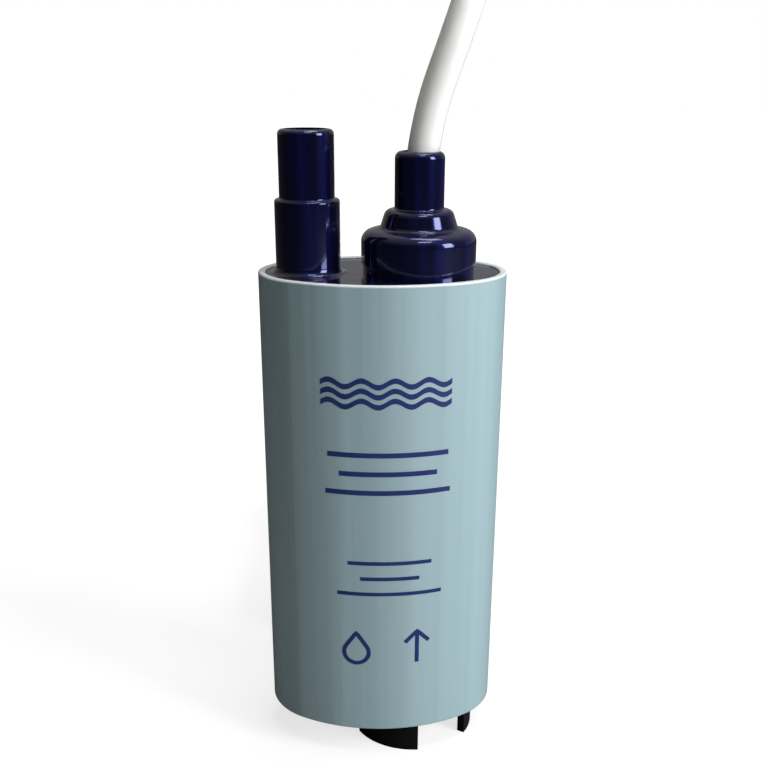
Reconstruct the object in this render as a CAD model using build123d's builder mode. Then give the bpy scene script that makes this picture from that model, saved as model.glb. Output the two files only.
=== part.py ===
from build123d import *
import os
from math import atan2, ceil, cos, degrees, hypot, pi, radians, sin, sqrt, tan

# Oval submersible water pump for caravans, standing on its three feet.
# The origin is the middle of the sleeve's oval on the surface it stands on, +Z up,
# X along the long way of the oval, -Y towards the printed front.

# Driving sizes of the sleeve
sleeve_width = 48.0
sleeve_depth = 33.0
sleeve_end_radius = 13.5
sleeve_wall = 1.4
sleeve_height = 94.0
sleeve_rim_round = 0.35
foot_height = 7.5
slip_gap = 0.1
running_gap = 0.02

# Top cover with its stepped hose tail
cover_drop = 0.35
cover_thickness = 2.6
skirt_height = 8.0
skirt_wall = 2.4
boss_radius = 10.75
boss_height = 1.85
tail_low_radius = 6.2
tail_top_radius = 5.25
tail_step_height = 13.75
tail_height = 26.25
tail_bore_radius = 4.0
tail_foot_round = 1.4
tail_rounds = [tail_foot_round, 0.5, 0.3, 0.9]
duct_radius = 4.5
duct_bore_radius = 3.5
duct_socket_wall = 1.6
duct_socket_depth = 8.5

# Cable gland and cable
cable_radius = 3.0
gland_radius = 11.05
gland_height = 20.5
neck_radius = 4.7
neck_bore_radius = 3.4

# Sealing rings
ring_section = 1.3
ring_squeeze_gap = 0.025
groove_width = 1.6

# Motor, a common size of direct current motor
can_radius = 12.0
can_wall = 1.0
can_length = 29.5
motor_boss_radius = 5.0
motor_boss_height = 2.2
shaft_radius = 1.15
bearing_radius = 3.5
bearing_length = 3.6
motor_screw_pitch = 16.0
motor_screw_radius = 1.2

# Pump end
plate_recess = 1.5
plate_thickness = 2.5
chamber_height = 6.0
chamber_screw_gap = 0.5
web_thickness = 6.5
volute_gap = 1.2
eye_radius = 4.5
foot_ring_step = 3.0
foot_ring_wall = 1.6
foot_angle = 66.0
foot_count = 3
plate_screw_radius = 1.0
plate_screw_head = 1.6
plate_screw_length = 8.0
screw_left_inset = 2.0
screw_left_edge = 6.0
screw_right_shift = 2.3
screw_right_edge = 4.6

# Levels worked out from the sizes above
sleeve_bottom = foot_height
rim_z = sleeve_bottom + sleeve_height
cover_top = rim_z - cover_drop
cover_bottom = cover_top - cover_thickness
boss_top = cover_top + boss_height
plate_bottom = sleeve_bottom + plate_recess
plate_top = plate_bottom + plate_thickness
chamber_top = plate_top + chamber_height
motor_seat = chamber_top + web_thickness
can_top = motor_seat + can_length
plug_inset = sleeve_wall + slip_gap
groove_depth = ring_section + 2 * ring_squeeze_gap - slip_gap
groove_inset = plug_inset + groove_depth

# The oval is four arcs: two ends and two long sides that run smoothly into them.
end_centre = sleeve_width / 2 - sleeve_end_radius
side_rise = sleeve_depth / 2 - sleeve_end_radius
side_centre = (end_centre**2 - side_rise**2) / (2 * side_rise)
side_radius = side_centre + sleeve_depth / 2
centre_gap = hypot(end_centre, side_centre)

# The two upright lines of the pump: the motor stands in the plug's outline and the duct
# clear of the ring's groove, and the length that they leave free is shared out between
# the two ends of the oval and the gap between them.
groove_back_wall = 0.6
motor_end_share = 0.35467980
duct_end_share = 0.18226601
motor_end_room = plug_inset + can_radius
duct_end_room = groove_inset + groove_back_wall + duct_radius
free_length = sleeve_width - motor_end_room - can_radius - duct_end_room - duct_radius
motor_x = sleeve_width / 2 - motor_end_room - motor_end_share * free_length
duct_x = duct_end_room + duct_end_share * free_length - sleeve_width / 2

# The foot plate's screws stand inside the oval, and the chamber and the feet follow them.
plate_screw_left = (screw_left_inset - end_centre, sleeve_depth / 2 - screw_left_edge)
plate_screw_right = (motor_x + screw_right_shift, sleeve_depth / 2 - screw_right_edge)
plate_screw_places = [(x, side * y) for x, y in (plate_screw_left, plate_screw_right) for side in (1, -1)]
chamber_radius = plate_screw_right[1] - plate_screw_radius - chamber_screw_gap
impeller_radius = chamber_radius - volute_gap
foot_ring_radius = chamber_radius + foot_ring_step


def oval(inset):
    """Outline of the sleeve moved inwards by inset, on the same four centres."""
    end_r = sleeve_end_radius - inset
    half_depth = side_radius - inset - side_centre
    join_x = end_centre + end_r * end_centre / centre_gap
    join_y = end_r * side_centre / centre_gap
    with BuildSketch() as outline:
        with BuildLine():
            ThreePointArc((-join_x, join_y), (0, half_depth), (join_x, join_y))
            ThreePointArc((join_x, join_y), (end_centre + end_r, 0), (join_x, -join_y))
            ThreePointArc((join_x, -join_y), (0, -half_depth), (-join_x, -join_y))
            ThreePointArc((-join_x, -join_y), (-end_centre - end_r, 0), (-join_x, join_y))
        make_face()
    return outline.sketch


def oval_path(inset):
    """The same outline as a closed path that starts on the long side."""
    return oval(inset).faces()[0].outer_wire()


def finish(part, label):
    """Name a finished piece and write it to its own file."""
    part.label = label
    export_step(part, f"parts/{label}.step")


os.makedirs("parts", exist_ok=True)
sleeve_outline = oval(0)
sleeve_bore_outline = oval(sleeve_wall)
plug_outline = oval(plug_inset)

# Upright section planes through the motor's and the duct's centre lines
motor_section = Plane(origin=(motor_x, 0, 0), x_dir=(1, 0, 0), z_dir=(0, -1, 0))
duct_section = Plane(origin=(duct_x, 0, 0), x_dir=(1, 0, 0), z_dir=(0, -1, 0))
motor_axis = Axis((motor_x, 0, 0), (0, 0, 1))
duct_axis = Axis((duct_x, 0, 0), (0, 0, 1))

# Outer sleeve: one oval plastic tube with softly rounded rims
with BuildPart() as outer_sleeve:
    with BuildSketch(Plane.XY.offset(sleeve_bottom)):
        add(sleeve_outline)
        add(sleeve_bore_outline, mode=Mode.SUBTRACT)
    extrude(amount=sleeve_height)
    rims = outer_sleeve.faces().sort_by(Axis.Z)
    fillet(rims[-1].edges() + rims[0].edges(), radius=sleeve_rim_round)
finish(outer_sleeve.part, "outer_sleeve")

# Top cover: oval plate with a skirt, the gland's boss and the hose tail in one moulding
skirt_bottom = cover_bottom - skirt_height
cover_groove_z = cover_bottom - skirt_height / 2
duct_socket_radius = duct_radius + slip_gap + duct_socket_wall
duct_top = cover_bottom - slip_gap
cable_hole_radius = cable_radius + slip_gap
spigot_radius = 9.2
spigot_wall = 1.6
spigot_height = 3.4

with BuildPart() as top_cover:
    with BuildSketch(Plane.XY.offset(cover_bottom)):
        add(plug_outline)
    extrude(amount=cover_thickness)
    with BuildSketch(Plane.XY.offset(skirt_bottom)):
        add(plug_outline)
        add(oval(plug_inset + skirt_wall), mode=Mode.SUBTRACT)
    extrude(amount=skirt_height)
    with BuildSketch(Plane.XY.offset(cover_groove_z - groove_width / 2)):
        add(sleeve_outline)
        add(oval(groove_inset), mode=Mode.SUBTRACT)
    extrude(amount=groove_width, mode=Mode.SUBTRACT)
    with BuildSketch(duct_section):
        with BuildLine():
            FilletPolyline(
                (tail_low_radius + tail_foot_round + slip_gap, cover_top),
                (tail_low_radius, cover_top),
                (tail_low_radius, cover_top + tail_step_height),
                (tail_top_radius, cover_top + tail_step_height),
                (tail_top_radius, cover_top + tail_height),
                (tail_bore_radius, cover_top + tail_height),
                radius=tail_rounds,
            )
            Polyline(
                (tail_bore_radius, cover_top + tail_height),
                (tail_bore_radius, cover_bottom),
                (tail_low_radius + tail_foot_round + slip_gap, cover_bottom),
                (tail_low_radius + tail_foot_round + slip_gap, cover_top),
            )
        make_face()
    revolve(axis=duct_axis, revolution_arc=360)
    with BuildSketch(Plane.XY.offset(cover_top)):
        with Locations((motor_x, 0)):
            Circle(boss_radius)
    extrude(amount=boss_height)
    with BuildSketch(Plane.XY.offset(boss_top)):
        with Locations((motor_x, 0)):
            Circle(spigot_radius)
            Circle(spigot_radius - spigot_wall, mode=Mode.SUBTRACT)
    extrude(amount=spigot_height)
    with BuildSketch(Plane.XY.offset(cover_bottom - duct_socket_depth)):
        with Locations((duct_x, 0)):
            Circle(duct_socket_radius)
        add(oval(groove_inset), mode=Mode.INTERSECT)
    extrude(amount=duct_socket_depth)
    with BuildSketch(Plane.XY.offset(cover_bottom - duct_socket_depth)):
        with Locations((duct_x, 0)):
            Circle(duct_radius + slip_gap / 2)
    extrude(amount=duct_socket_depth, mode=Mode.SUBTRACT)
    with BuildSketch(Plane.XY.offset(cover_bottom)):
        with Locations((duct_x, 0)):
            Circle(tail_bore_radius)
    extrude(amount=cover_thickness + tail_height, mode=Mode.SUBTRACT)
    with BuildSketch(Plane.XY.offset(cover_bottom)):
        with Locations((motor_x, 0)):
            Circle(cable_hole_radius)
    extrude(amount=cover_thickness + boss_height, mode=Mode.SUBTRACT)
finish(top_cover.part, "top_cover")

# Gland cap: hollow bell with a neck, pushed over the spigot on the cover's boss
gland_shoulder = 5.8
shoulder_rise = 0.8
tier_radius = 7.45
tier_top_radius = 6.35
tier_height = 10.0
cap_room_height = 3.9
cap_throat_radius = 5.0
cap_throat_lead = 1.4
cap_throat_height = 8.3
cap_bore_lead = 1.6
cap_rounds = [2.2, 0.9, 1.4, 0.4, 1.2]
gland_top = boss_top + gland_height
shoulder_z = boss_top + gland_shoulder
tier_top_z = boss_top + tier_height
cap_room_radius = spigot_radius + slip_gap
cap_room_top = boss_top + cap_room_height
cap_throat_low = cap_room_top + cap_throat_lead
cap_throat_top = boss_top + cap_throat_height
cap_bore_low = cap_throat_top + cap_bore_lead

with BuildPart() as gland_cap:
    with BuildSketch(motor_section):
        with BuildLine() as cap_outline:
            FilletPolyline(
                (gland_radius, boss_top),
                (gland_radius, shoulder_z),
                (tier_radius, shoulder_z + shoulder_rise),
                (tier_top_radius, tier_top_z),
                (neck_radius, tier_top_z),
                (neck_radius, gland_top),
                (neck_bore_radius, gland_top),
                radius=cap_rounds,
            )
            Polyline(
                (neck_bore_radius, gland_top),
                (neck_bore_radius, cap_bore_low),
                (cap_throat_radius, cap_throat_top),
                (cap_throat_radius, cap_throat_low),
                (cap_room_radius, cap_room_top),
                (cap_room_radius, boss_top),
                (gland_radius, boss_top),
            )
        make_face()
    revolve(axis=motor_axis, revolution_arc=360)
finish(gland_cap.part, "gland_cap")

# Gland packing: a nylon washer, the rubber seal pressed on it and the cable's sheath through both
washer_thickness = 0.8
seal_skirt = 2.4
seal_cone_rise = 1.5
sheath_below_cover = 6.0
cable_inside_neck = 9.0
washer_radius = spigot_radius - spigot_wall - slip_gap
seal_bottom = boss_top + washer_thickness
seal_shoulder = seal_bottom + seal_skirt
seal_nose_radius = cap_throat_radius - slip_gap
seal_bore_radius = cable_radius + slip_gap / 2
sheath_bottom = cover_bottom - sheath_below_cover
cable_start_z = gland_top - cable_inside_neck

with BuildPart() as gland_washer:
    with BuildSketch(Plane.XY.offset(boss_top)):
        with Locations((motor_x, 0)):
            Circle(washer_radius)
            Circle(cable_hole_radius, mode=Mode.SUBTRACT)
    extrude(amount=washer_thickness)
finish(gland_washer.part, "gland_washer")

with BuildPart() as cable_seal:
    with BuildSketch(motor_section):
        with BuildLine():
            Polyline(
                (seal_bore_radius, seal_bottom),
                (washer_radius, seal_bottom),
                (washer_radius, seal_shoulder),
                (seal_nose_radius, seal_shoulder + seal_cone_rise),
                (seal_nose_radius, cap_throat_top),
                (seal_bore_radius, cap_throat_top),
                close=True,
            )
        make_face()
    revolve(axis=motor_axis, revolution_arc=360)
finish(cable_seal.part, "cable_seal")

with BuildPart() as cable_entry:
    with BuildSketch(Plane.XY.offset(sheath_bottom)):
        with Locations((motor_x, 0)):
            Circle(cable_radius)
    extrude(amount=cable_start_z - sheath_bottom)
finish(cable_entry.part, "cable_entry")

# Crimp ring: stops the cable from being pulled out through the cover
crimp_wall = 1.3
crimp_height = 3.0
with BuildPart() as cable_crimp_ring:
    with BuildSketch(Plane.XY.offset(cover_bottom - crimp_height)):
        with Locations((motor_x, 0)):
            Circle(cable_radius + crimp_wall)
            Circle(cable_radius + running_gap, mode=Mode.SUBTRACT)
    extrude(amount=crimp_height)
finish(cable_crimp_ring.part, "cable_crimp_ring")

# Oval sealing rings: rubber cord of round section in the cover's and the pump body's grooves
body_groove_z = chamber_top + web_thickness / 2
ring_inset = sleeve_wall + ring_squeeze_gap + ring_section / 2


def oval_ring(height):
    """A closed rubber ring along the oval, at the given height."""
    path = oval_path(ring_inset).moved(Location((0, 0, height)))
    start = path.position_at(0)
    with BuildPart() as ring:
        with BuildSketch(Plane(origin=start, z_dir=path.tangent_at(0))):
            Circle(ring_section / 2)
        sweep(path=path)
    return ring.part


finish(oval_ring(cover_groove_z), "cover_seal_ring")
finish(oval_ring(body_groove_z), "body_seal_ring")

# Pump body: closes the sleeve from below, carries the motor, and holds the
# impeller's chamber, the channel to the riser duct and the shaft seal
seal_radius = 4.5
seal_height = 3.0
duct_seat_rise = 1.5
channel_width = 5.4
channel_offset = 5.0
channel_start_y = -6.6
seal_floor = motor_seat - motor_boss_height - slip_gap - seal_height
duct_seat_z = chamber_top + duct_seat_rise
channel_start_x = motor_x - channel_offset
channel_reach = hypot(channel_start_x - duct_x, channel_start_y)
channel_turn = degrees(atan2(-channel_start_y, duct_x - channel_start_x))
motor_screw_hole = motor_screw_radius + slip_gap
motor_screw_head = 2.2

with BuildPart() as pump_body:
    with BuildSketch(Plane.XY.offset(plate_top)):
        add(plug_outline)
    extrude(amount=motor_seat - plate_top)
    with BuildSketch(Plane.XY.offset(body_groove_z - groove_width / 2)):
        add(sleeve_outline)
        add(oval(groove_inset), mode=Mode.SUBTRACT)
    extrude(amount=groove_width, mode=Mode.SUBTRACT)
    with BuildSketch(Plane.XY.offset(plate_top)):
        with Locations((motor_x, 0)):
            Circle(chamber_radius)
        with Locations(((channel_start_x + duct_x) / 2, channel_start_y / 2)):
            SlotCenterToCenter(channel_reach, channel_width, rotation=channel_turn)
        with Locations((duct_x, 0)):
            Circle(duct_bore_radius)
    extrude(amount=chamber_height, mode=Mode.SUBTRACT)
    with Locations((duct_x, 0, motor_seat)):
        CounterBoreHole(duct_bore_radius, duct_radius + slip_gap / 2, motor_seat - duct_seat_z)
    with Locations((motor_x, 0, motor_seat)):
        Hole(motor_boss_radius + slip_gap, motor_boss_height + slip_gap)
        Hole(seal_radius + running_gap, motor_seat - seal_floor)
        Hole(shaft_radius + slip_gap)
    with Locations(*[Location((motor_x + side * motor_screw_pitch / 2, 0, chamber_top), (180, 0, 0))
                     for side in (-1, 1)]):
        CounterSinkHole(motor_screw_hole, motor_screw_head + slip_gap, web_thickness)
    with Locations(*[Location((x, y, plate_top), (180, 0, 0)) for x, y in plate_screw_places]):
        Hole(plate_screw_radius + slip_gap / 2, plate_screw_length - plate_thickness + slip_gap)
finish(pump_body.part, "pump_body")

# Shaft seal: rubber cup with a lip on the shaft, under a steel washer that holds it down
lip_height = 0.8
seal_flange = 0.8
with BuildPart() as shaft_seal:
    with BuildSketch(motor_section):
        with BuildLine():
            Polyline(
                (shaft_radius + running_gap, seal_floor),
                (seal_radius, seal_floor),
                (seal_radius, seal_floor + seal_height),
                (seal_radius - seal_flange, seal_floor + seal_height),
                (seal_radius - seal_flange, seal_floor + seal_flange),
                (shaft_radius + seal_flange, seal_floor + seal_flange),
                (shaft_radius + running_gap, seal_floor + lip_height),
                close=True,
            )
        make_face()
    revolve(axis=motor_axis, revolution_arc=360)
finish(shaft_seal.part, "shaft_seal")

garter_section = 0.5
garter_radius = seal_radius - seal_flange - garter_section
with BuildPart() as seal_garter_spring:
    with BuildSketch(motor_section):
        with Locations((garter_radius, seal_floor + seal_flange + garter_section)):
            Circle(garter_section - running_gap)
    revolve(axis=motor_axis, revolution_arc=360)
finish(seal_garter_spring.part, "seal_garter_spring")

# Riser duct: carries the water past the motor up to the hose tail
with BuildPart() as riser_duct:
    with BuildSketch(Plane.XY.offset(duct_seat_z)):
        with Locations((duct_x, 0)):
            Circle(duct_radius)
            Circle(duct_bore_radius, mode=Mode.SUBTRACT)
    extrude(amount=duct_top - duct_seat_z)
finish(riser_duct.part, "riser_duct")

# Duct seals: two rubber rings round the duct, where it enters the body and the cover
duct_ring_width = 1.2
with BuildPart() as duct_seals:
    for z in (motor_seat, cover_bottom - duct_socket_depth - duct_ring_width):
        with BuildSketch(Plane.XY.offset(z)):
            with Locations((duct_x, 0)):
                Circle(duct_radius + duct_ring_width)
                Circle(duct_radius + running_gap, mode=Mode.SUBTRACT)
        extrude(amount=duct_ring_width)
finish(duct_seals.part, "duct_seals")

# Foot plate: closes the chamber from below, with the inlet eye and three feet
vent_radius = 2.6
ring_inner_radius = foot_ring_radius - foot_ring_wall
foot_start = -foot_angle / 2
with BuildPart() as foot_plate:
    with BuildSketch(Plane.XY.offset(plate_bottom)):
        add(plug_outline)
    extrude(amount=plate_thickness)
    with BuildSketch(Plane.XY):
        for turn in range(foot_count):
            with BuildLine(Plane(origin=(motor_x, 0, 0), x_dir=(
                    cos(2 * pi * turn / foot_count), sin(2 * pi * turn / foot_count), 0), z_dir=(0, 0, 1))):
                outer = CenterArc((0, 0), foot_ring_radius, foot_start, foot_angle)
                inner = CenterArc((0, 0), ring_inner_radius, foot_start, foot_angle)
                Line(outer @ 0, inner @ 0)
                Line(outer @ 1, inner @ 1)
            make_face()
        add(plug_outline, mode=Mode.INTERSECT)
    extrude(amount=plate_bottom)
    with Locations((motor_x, 0, plate_top)):
        Hole(eye_radius)
    with Locations((duct_x, 0, plate_top)):
        Hole(vent_radius + running_gap)
    with Locations(*[Location((x, y, plate_bottom), (180, 0, 0)) for x, y in plate_screw_places]):
        CounterSinkHole(plate_screw_radius + slip_gap / 2, plate_screw_head + slip_gap / 2)
finish(foot_plate.part, "foot_plate")


def countersunk_screws(places, start, radius, head, length, upward=1):
    """A group of like countersunk screws, each with a cross slot, driven upwards from start."""
    head_height = head - radius
    slot = radius / 2
    with BuildPart() as group:
        for x, y in places:
            with BuildSketch(Plane.XZ):
                with BuildLine():
                    Polyline(
                        (0, start),
                        (head, start),
                        (radius, start + head_height),
                        (radius, start + length - radius),
                        (radius / 2, start + length),
                        (0, start + length),
                        close=True,
                    )
                make_face()
            screw = revolve(axis=Axis.Z, revolution_arc=360, mode=Mode.PRIVATE)
            recess = Box(head, slot, slot, mode=Mode.PRIVATE) + Box(slot, head, slot, mode=Mode.PRIVATE)
            screw = screw - recess.moved(Location((0, 0, start + slot / 2)))
            add(screw.moved(Location((x, y, 0))))
    return group.part


finish(countersunk_screws(plate_screw_places, plate_bottom, plate_screw_radius, plate_screw_head,
                          plate_screw_length), "foot_plate_screws")
motor_screw_places = [(motor_x + side * motor_screw_pitch / 2, 0) for side in (-1, 1)]
motor_screw_reach = 2.5
finish(countersunk_screws(motor_screw_places, chamber_top, motor_screw_radius, motor_screw_head,
                          web_thickness + motor_screw_reach), "motor_screws")

# Inlet strainer: shallow slotted dish that snaps in between the feet
strainer_gap = 0.3
strainer_radius = ring_inner_radius - strainer_gap
strainer_wall = 1.1
strainer_depth = 3.2
strainer_slots = 14
strainer_slot_width = 1.1
strainer_hub_radius = 3.0
strainer_bottom = plate_bottom - strainer_depth
with BuildPart() as inlet_strainer:
    with BuildSketch(Plane.XY.offset(strainer_bottom)):
        with Locations((motor_x, 0)):
            Circle(strainer_radius)
    extrude(amount=strainer_depth)
    with BuildSketch(Plane.XY.offset(strainer_bottom + strainer_wall)):
        with Locations((motor_x, 0)):
            Circle(strainer_radius - strainer_wall)
    extrude(amount=strainer_depth - strainer_wall, mode=Mode.SUBTRACT)
    slot_reach = strainer_radius - 2 * strainer_wall - strainer_hub_radius
    with BuildSketch(Plane.XY.offset(strainer_bottom)):
        with Locations((motor_x, 0)):
            with PolarLocations(strainer_hub_radius + slot_reach / 2, strainer_slots):
                SlotOverall(slot_reach, strainer_slot_width)
    extrude(amount=strainer_wall, mode=Mode.SUBTRACT)
finish(inlet_strainer.part, "inlet_strainer")

# Vent valve: cage pressed into the foot plate under the channel, with a loose ball on its seat
vent_flange_radius = 3.4
vent_flange = 0.7
vent_hole_radius = 0.9
vent_room_radius = 1.75
vent_cage_rise = 4.2
vent_seat_depth = 0.5
vent_top_hole_radius = 0.8
vent_top_wall = 0.7
vent_window = 1.4
ball_radius = 1.5
ball_rest_gap = 0.03
vent_wall_top = plate_top + vent_cage_rise
vent_seat_z = plate_top - vent_seat_depth
ball_z = vent_seat_z + sqrt(ball_radius**2 - vent_hole_radius**2) + ball_rest_gap
with BuildPart() as vent_cage:
    with BuildSketch(duct_section):
        with BuildLine():
            Polyline(
                (vent_hole_radius, plate_bottom - vent_flange),
                (vent_flange_radius, plate_bottom - vent_flange),
                (vent_flange_radius, plate_bottom),
                (vent_radius, plate_bottom),
                (vent_radius, vent_wall_top),
                (vent_top_hole_radius, vent_wall_top),
                (vent_top_hole_radius, vent_wall_top - vent_top_wall),
                (vent_room_radius, vent_wall_top - vent_top_wall),
                (vent_room_radius, vent_seat_z),
                (vent_hole_radius, vent_seat_z),
                close=True,
            )
        make_face()
    revolve(axis=duct_axis, revolution_arc=360)
    window_height = vent_wall_top - vent_top_wall - plate_top
    with Locations((duct_x, 0, plate_top + window_height / 2)):
        Box(3 * vent_radius, vent_window, window_height, mode=Mode.SUBTRACT)
        Box(vent_window, 3 * vent_radius, window_height, mode=Mode.SUBTRACT)
finish(vent_cage.part, "vent_cage")

with BuildPart() as vent_ball:
    with Locations((duct_x, 0, ball_z)):
        Sphere(ball_radius)
finish(vent_ball.part, "vent_ball")
print("vent ball travel", round(vent_wall_top - vent_top_wall - ball_radius - ball_z, 2))

# Motor can: drawn steel cup, open at the top, with the front bearing's boss below
can_front = 1.2
can_inner = can_radius - can_wall
boss_lip = 0.6
boss_lip_hole = 2.0
front_bearing_z = motor_seat - motor_boss_height + boss_lip
with BuildPart() as motor_can:
    with BuildSketch(Plane.XY.offset(motor_seat)):
        with Locations((motor_x, 0)):
            Circle(can_radius)
    extrude(amount=can_length)
    with BuildSketch(Plane.XY.offset(motor_seat + can_front)):
        with Locations((motor_x, 0)):
            Circle(can_inner)
    extrude(amount=can_length, mode=Mode.SUBTRACT)
    with BuildSketch(Plane.XY.offset(motor_seat - motor_boss_height)):
        with Locations((motor_x, 0)):
            Circle(motor_boss_radius)
    extrude(amount=motor_boss_height)
    with BuildSketch(Plane.XY.offset(front_bearing_z)):
        with Locations((motor_x, 0)):
            Circle(bearing_radius + running_gap)
    extrude(amount=bearing_length, mode=Mode.SUBTRACT)
    with Locations((motor_x, 0, motor_seat + can_front)):
        Hole(boss_lip_hole)
    with Locations(*[(x, y, motor_seat + can_front) for x, y in motor_screw_places]):
        Hole(motor_screw_radius + running_gap)
finish(motor_can.part, "motor_can")

# Motor end cap: plastic, pushed into the can, with slots for the two terminals
cap_spigot = 3.0
cap_spigot_wall = 1.4
cap_flange = 1.6
cap_dome_radius = 10.6
cap_dome_height = 3.7
cap_boss_height = 2.2
cap_roof = 1.5
cap_inner = can_inner - slip_gap - cap_spigot_wall
cap_top = can_top + cap_flange + cap_dome_height + cap_boss_height
rear_bearing_z = cap_top - boss_lip - bearing_length
cap_inner_top = can_top + cap_flange + cap_dome_height - cap_roof
arm_x = 5.6
arm_thickness = 0.3
terminal_thickness = 0.6
terminal_low_y = -6.6
terminal_width = 2.6
terminal_rise = 2.4
terminal_top = cap_top + terminal_rise
with BuildPart() as motor_end_cap:
    with BuildSketch(motor_section):
        with BuildLine():
            Polyline(
                (0, cap_top),
                (motor_boss_radius, cap_top),
                (motor_boss_radius, cap_top - cap_boss_height),
                (cap_dome_radius, cap_top - cap_boss_height),
                (cap_dome_radius, can_top + cap_flange),
                (can_radius - slip_gap, can_top + cap_flange),
                (can_radius - slip_gap, can_top),
                (can_inner - slip_gap, can_top),
                (can_inner - slip_gap, can_top - cap_spigot),
                (cap_inner, can_top - cap_spigot),
                (cap_inner, cap_inner_top),
                (motor_boss_radius, cap_inner_top),
                (motor_boss_radius, rear_bearing_z),
                (0, rear_bearing_z),
                close=True,
            )
        make_face()
    revolve(axis=motor_axis, revolution_arc=360)
    with BuildSketch(Plane.XY.offset(rear_bearing_z)):
        with Locations((motor_x, 0)):
            Circle(bearing_radius + running_gap)
    extrude(amount=bearing_length, mode=Mode.SUBTRACT)
    with BuildSketch(Plane.XY.offset(can_top)):
        for side in (-1, 1):
            with Locations((motor_x + side * (arm_x + arm_thickness + terminal_thickness / 2 + running_gap),
                            terminal_low_y + terminal_width / 2)):
                Rectangle(terminal_thickness + slip_gap, terminal_width + slip_gap)
    extrude(amount=cap_top - can_top, mode=Mode.SUBTRACT)
finish(motor_end_cap.part, "motor_end_cap")

# Bearings: two sintered bushes
for bearing_name, bearing_z in (("front_bearing", front_bearing_z), ("rear_bearing", rear_bearing_z)):
    with BuildPart() as bearing:
        with BuildSketch(Plane.XY.offset(bearing_z)):
            with Locations((motor_x, 0)):
                Circle(bearing_radius)
                Circle(shaft_radius + running_gap, mode=Mode.SUBTRACT)
        extrude(amount=bearing_length)
    finish(bearing.part, bearing_name)

# Magnets: two ferrite arcs stuck in the can, front and back
core_radius = 8.5
air_gap = 0.4
magnet_angle = 116.0
magnet_lift = 4.5
magnet_height = 20.0
core_lift = 8.0
core_height = 14.0
magnet_bottom = motor_seat + magnet_lift
core_bottom = motor_seat + core_lift
magnet_inner = core_radius + air_gap


def motor_plane(height, turn):
    """A level plane on the motor's axis, turned about it by so many degrees."""
    return Plane(origin=(motor_x, 0, height), x_dir=(cos(radians(turn)), sin(radians(turn)), 0),
                 z_dir=(0, 0, 1))


def ring_sector(inner_radius, outer_radius, angle):
    """Part of a flat ring, as wide as angle, lying evenly about +X."""
    with BuildSketch() as sector:
        with BuildLine():
            outer_arc = CenterArc((0, 0), outer_radius, -angle / 2, angle)
            inner_arc = CenterArc((0, 0), inner_radius, -angle / 2, angle)
            Line(outer_arc @ 0, inner_arc @ 0)
            Line(outer_arc @ 1, inner_arc @ 1)
        make_face()
    return sector.sketch


with BuildPart() as motor_magnets:
    for turn in (90, 270):
        with BuildSketch(motor_plane(magnet_bottom, turn)):
            add(ring_sector(magnet_inner, can_inner - running_gap, magnet_angle))
        extrude(amount=magnet_height)
finish(motor_magnets.part, "motor_magnets")

# Rotor: shaft, three-pole core, its windings and the commutator
pole_count = 3
shoe_inner = 6.6
neck_width = 3.2
core_hub = 3.4
slot_mouth = 2.4
coil_height = 3.0
coil_width = 8.4
coil_gap = 0.2
winding_angle = 118.0
shaft_low_gap = 1.0
shaft_high_gap = 0.5
shaft_bottom = plate_top + shaft_low_gap
shaft_top = cap_top - boss_lip - shaft_high_gap
rotor_bore = shaft_radius + running_gap
with BuildPart() as motor_shaft:
    with BuildSketch(Plane.XY.offset(shaft_bottom)):
        with Locations((motor_x, 0)):
            Circle(shaft_radius)
    extrude(amount=shaft_top - shaft_bottom)
finish(motor_shaft.part, "motor_shaft")

with BuildPart() as armature_core:
    with BuildSketch(motor_plane(core_bottom, 0)):
        Circle(core_radius)
        Circle(shoe_inner, mode=Mode.SUBTRACT)
        Circle(core_hub)
        with PolarLocations(shoe_inner / 2, pole_count):
            Rectangle(shoe_inner + coil_gap, neck_width)
        with PolarLocations(core_radius, pole_count, start_angle=180 / pole_count):
            Rectangle(core_radius, slot_mouth, mode=Mode.SUBTRACT)
        Circle(rotor_bore, mode=Mode.SUBTRACT)
    extrude(amount=core_height)
finish(armature_core.part, "armature_core")

with BuildPart() as armature_windings:
    for pole in range(pole_count):
        turn = 360 * pole / pole_count
        with BuildSketch(motor_plane(core_bottom - coil_height, turn)):
            add(ring_sector(core_hub + coil_gap, shoe_inner - coil_gap, winding_angle))
            Rectangle(4 * shoe_inner, coil_width, mode=Mode.INTERSECT)
        extrude(amount=core_height + 2 * coil_height)
        with BuildSketch(motor_plane(core_bottom - coil_gap, turn)):
            with Locations((shoe_inner / 2, 0)):
                Rectangle(2 * shoe_inner, neck_width + 2 * coil_gap)
        extrude(amount=core_height + 2 * coil_gap, mode=Mode.SUBTRACT)
finish(armature_windings.part, "armature_windings")

commutator_hub_radius = 2.5
commutator_radius = 3.4
commutator_gap = 0.5
commutator_bottom = core_bottom + core_height + coil_height + commutator_gap
commutator_length = 5.8
segment_angle = 112.0
segment_end = 0.5
with BuildPart() as commutator_hub:
    with BuildSketch(motor_plane(commutator_bottom, 0)):
        Circle(commutator_hub_radius)
        Circle(rotor_bore, mode=Mode.SUBTRACT)
    extrude(amount=commutator_length)
finish(commutator_hub.part, "commutator_hub")

with BuildPart() as commutator_segments:
    for pole in range(pole_count):
        with BuildSketch(motor_plane(commutator_bottom + segment_end, 360 * (pole + 0.5) / pole_count)):
            add(ring_sector(commutator_hub_radius + running_gap, commutator_radius, segment_angle))
        extrude(amount=commutator_length - 2 * segment_end)
finish(commutator_segments.part, "commutator_segments")

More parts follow.
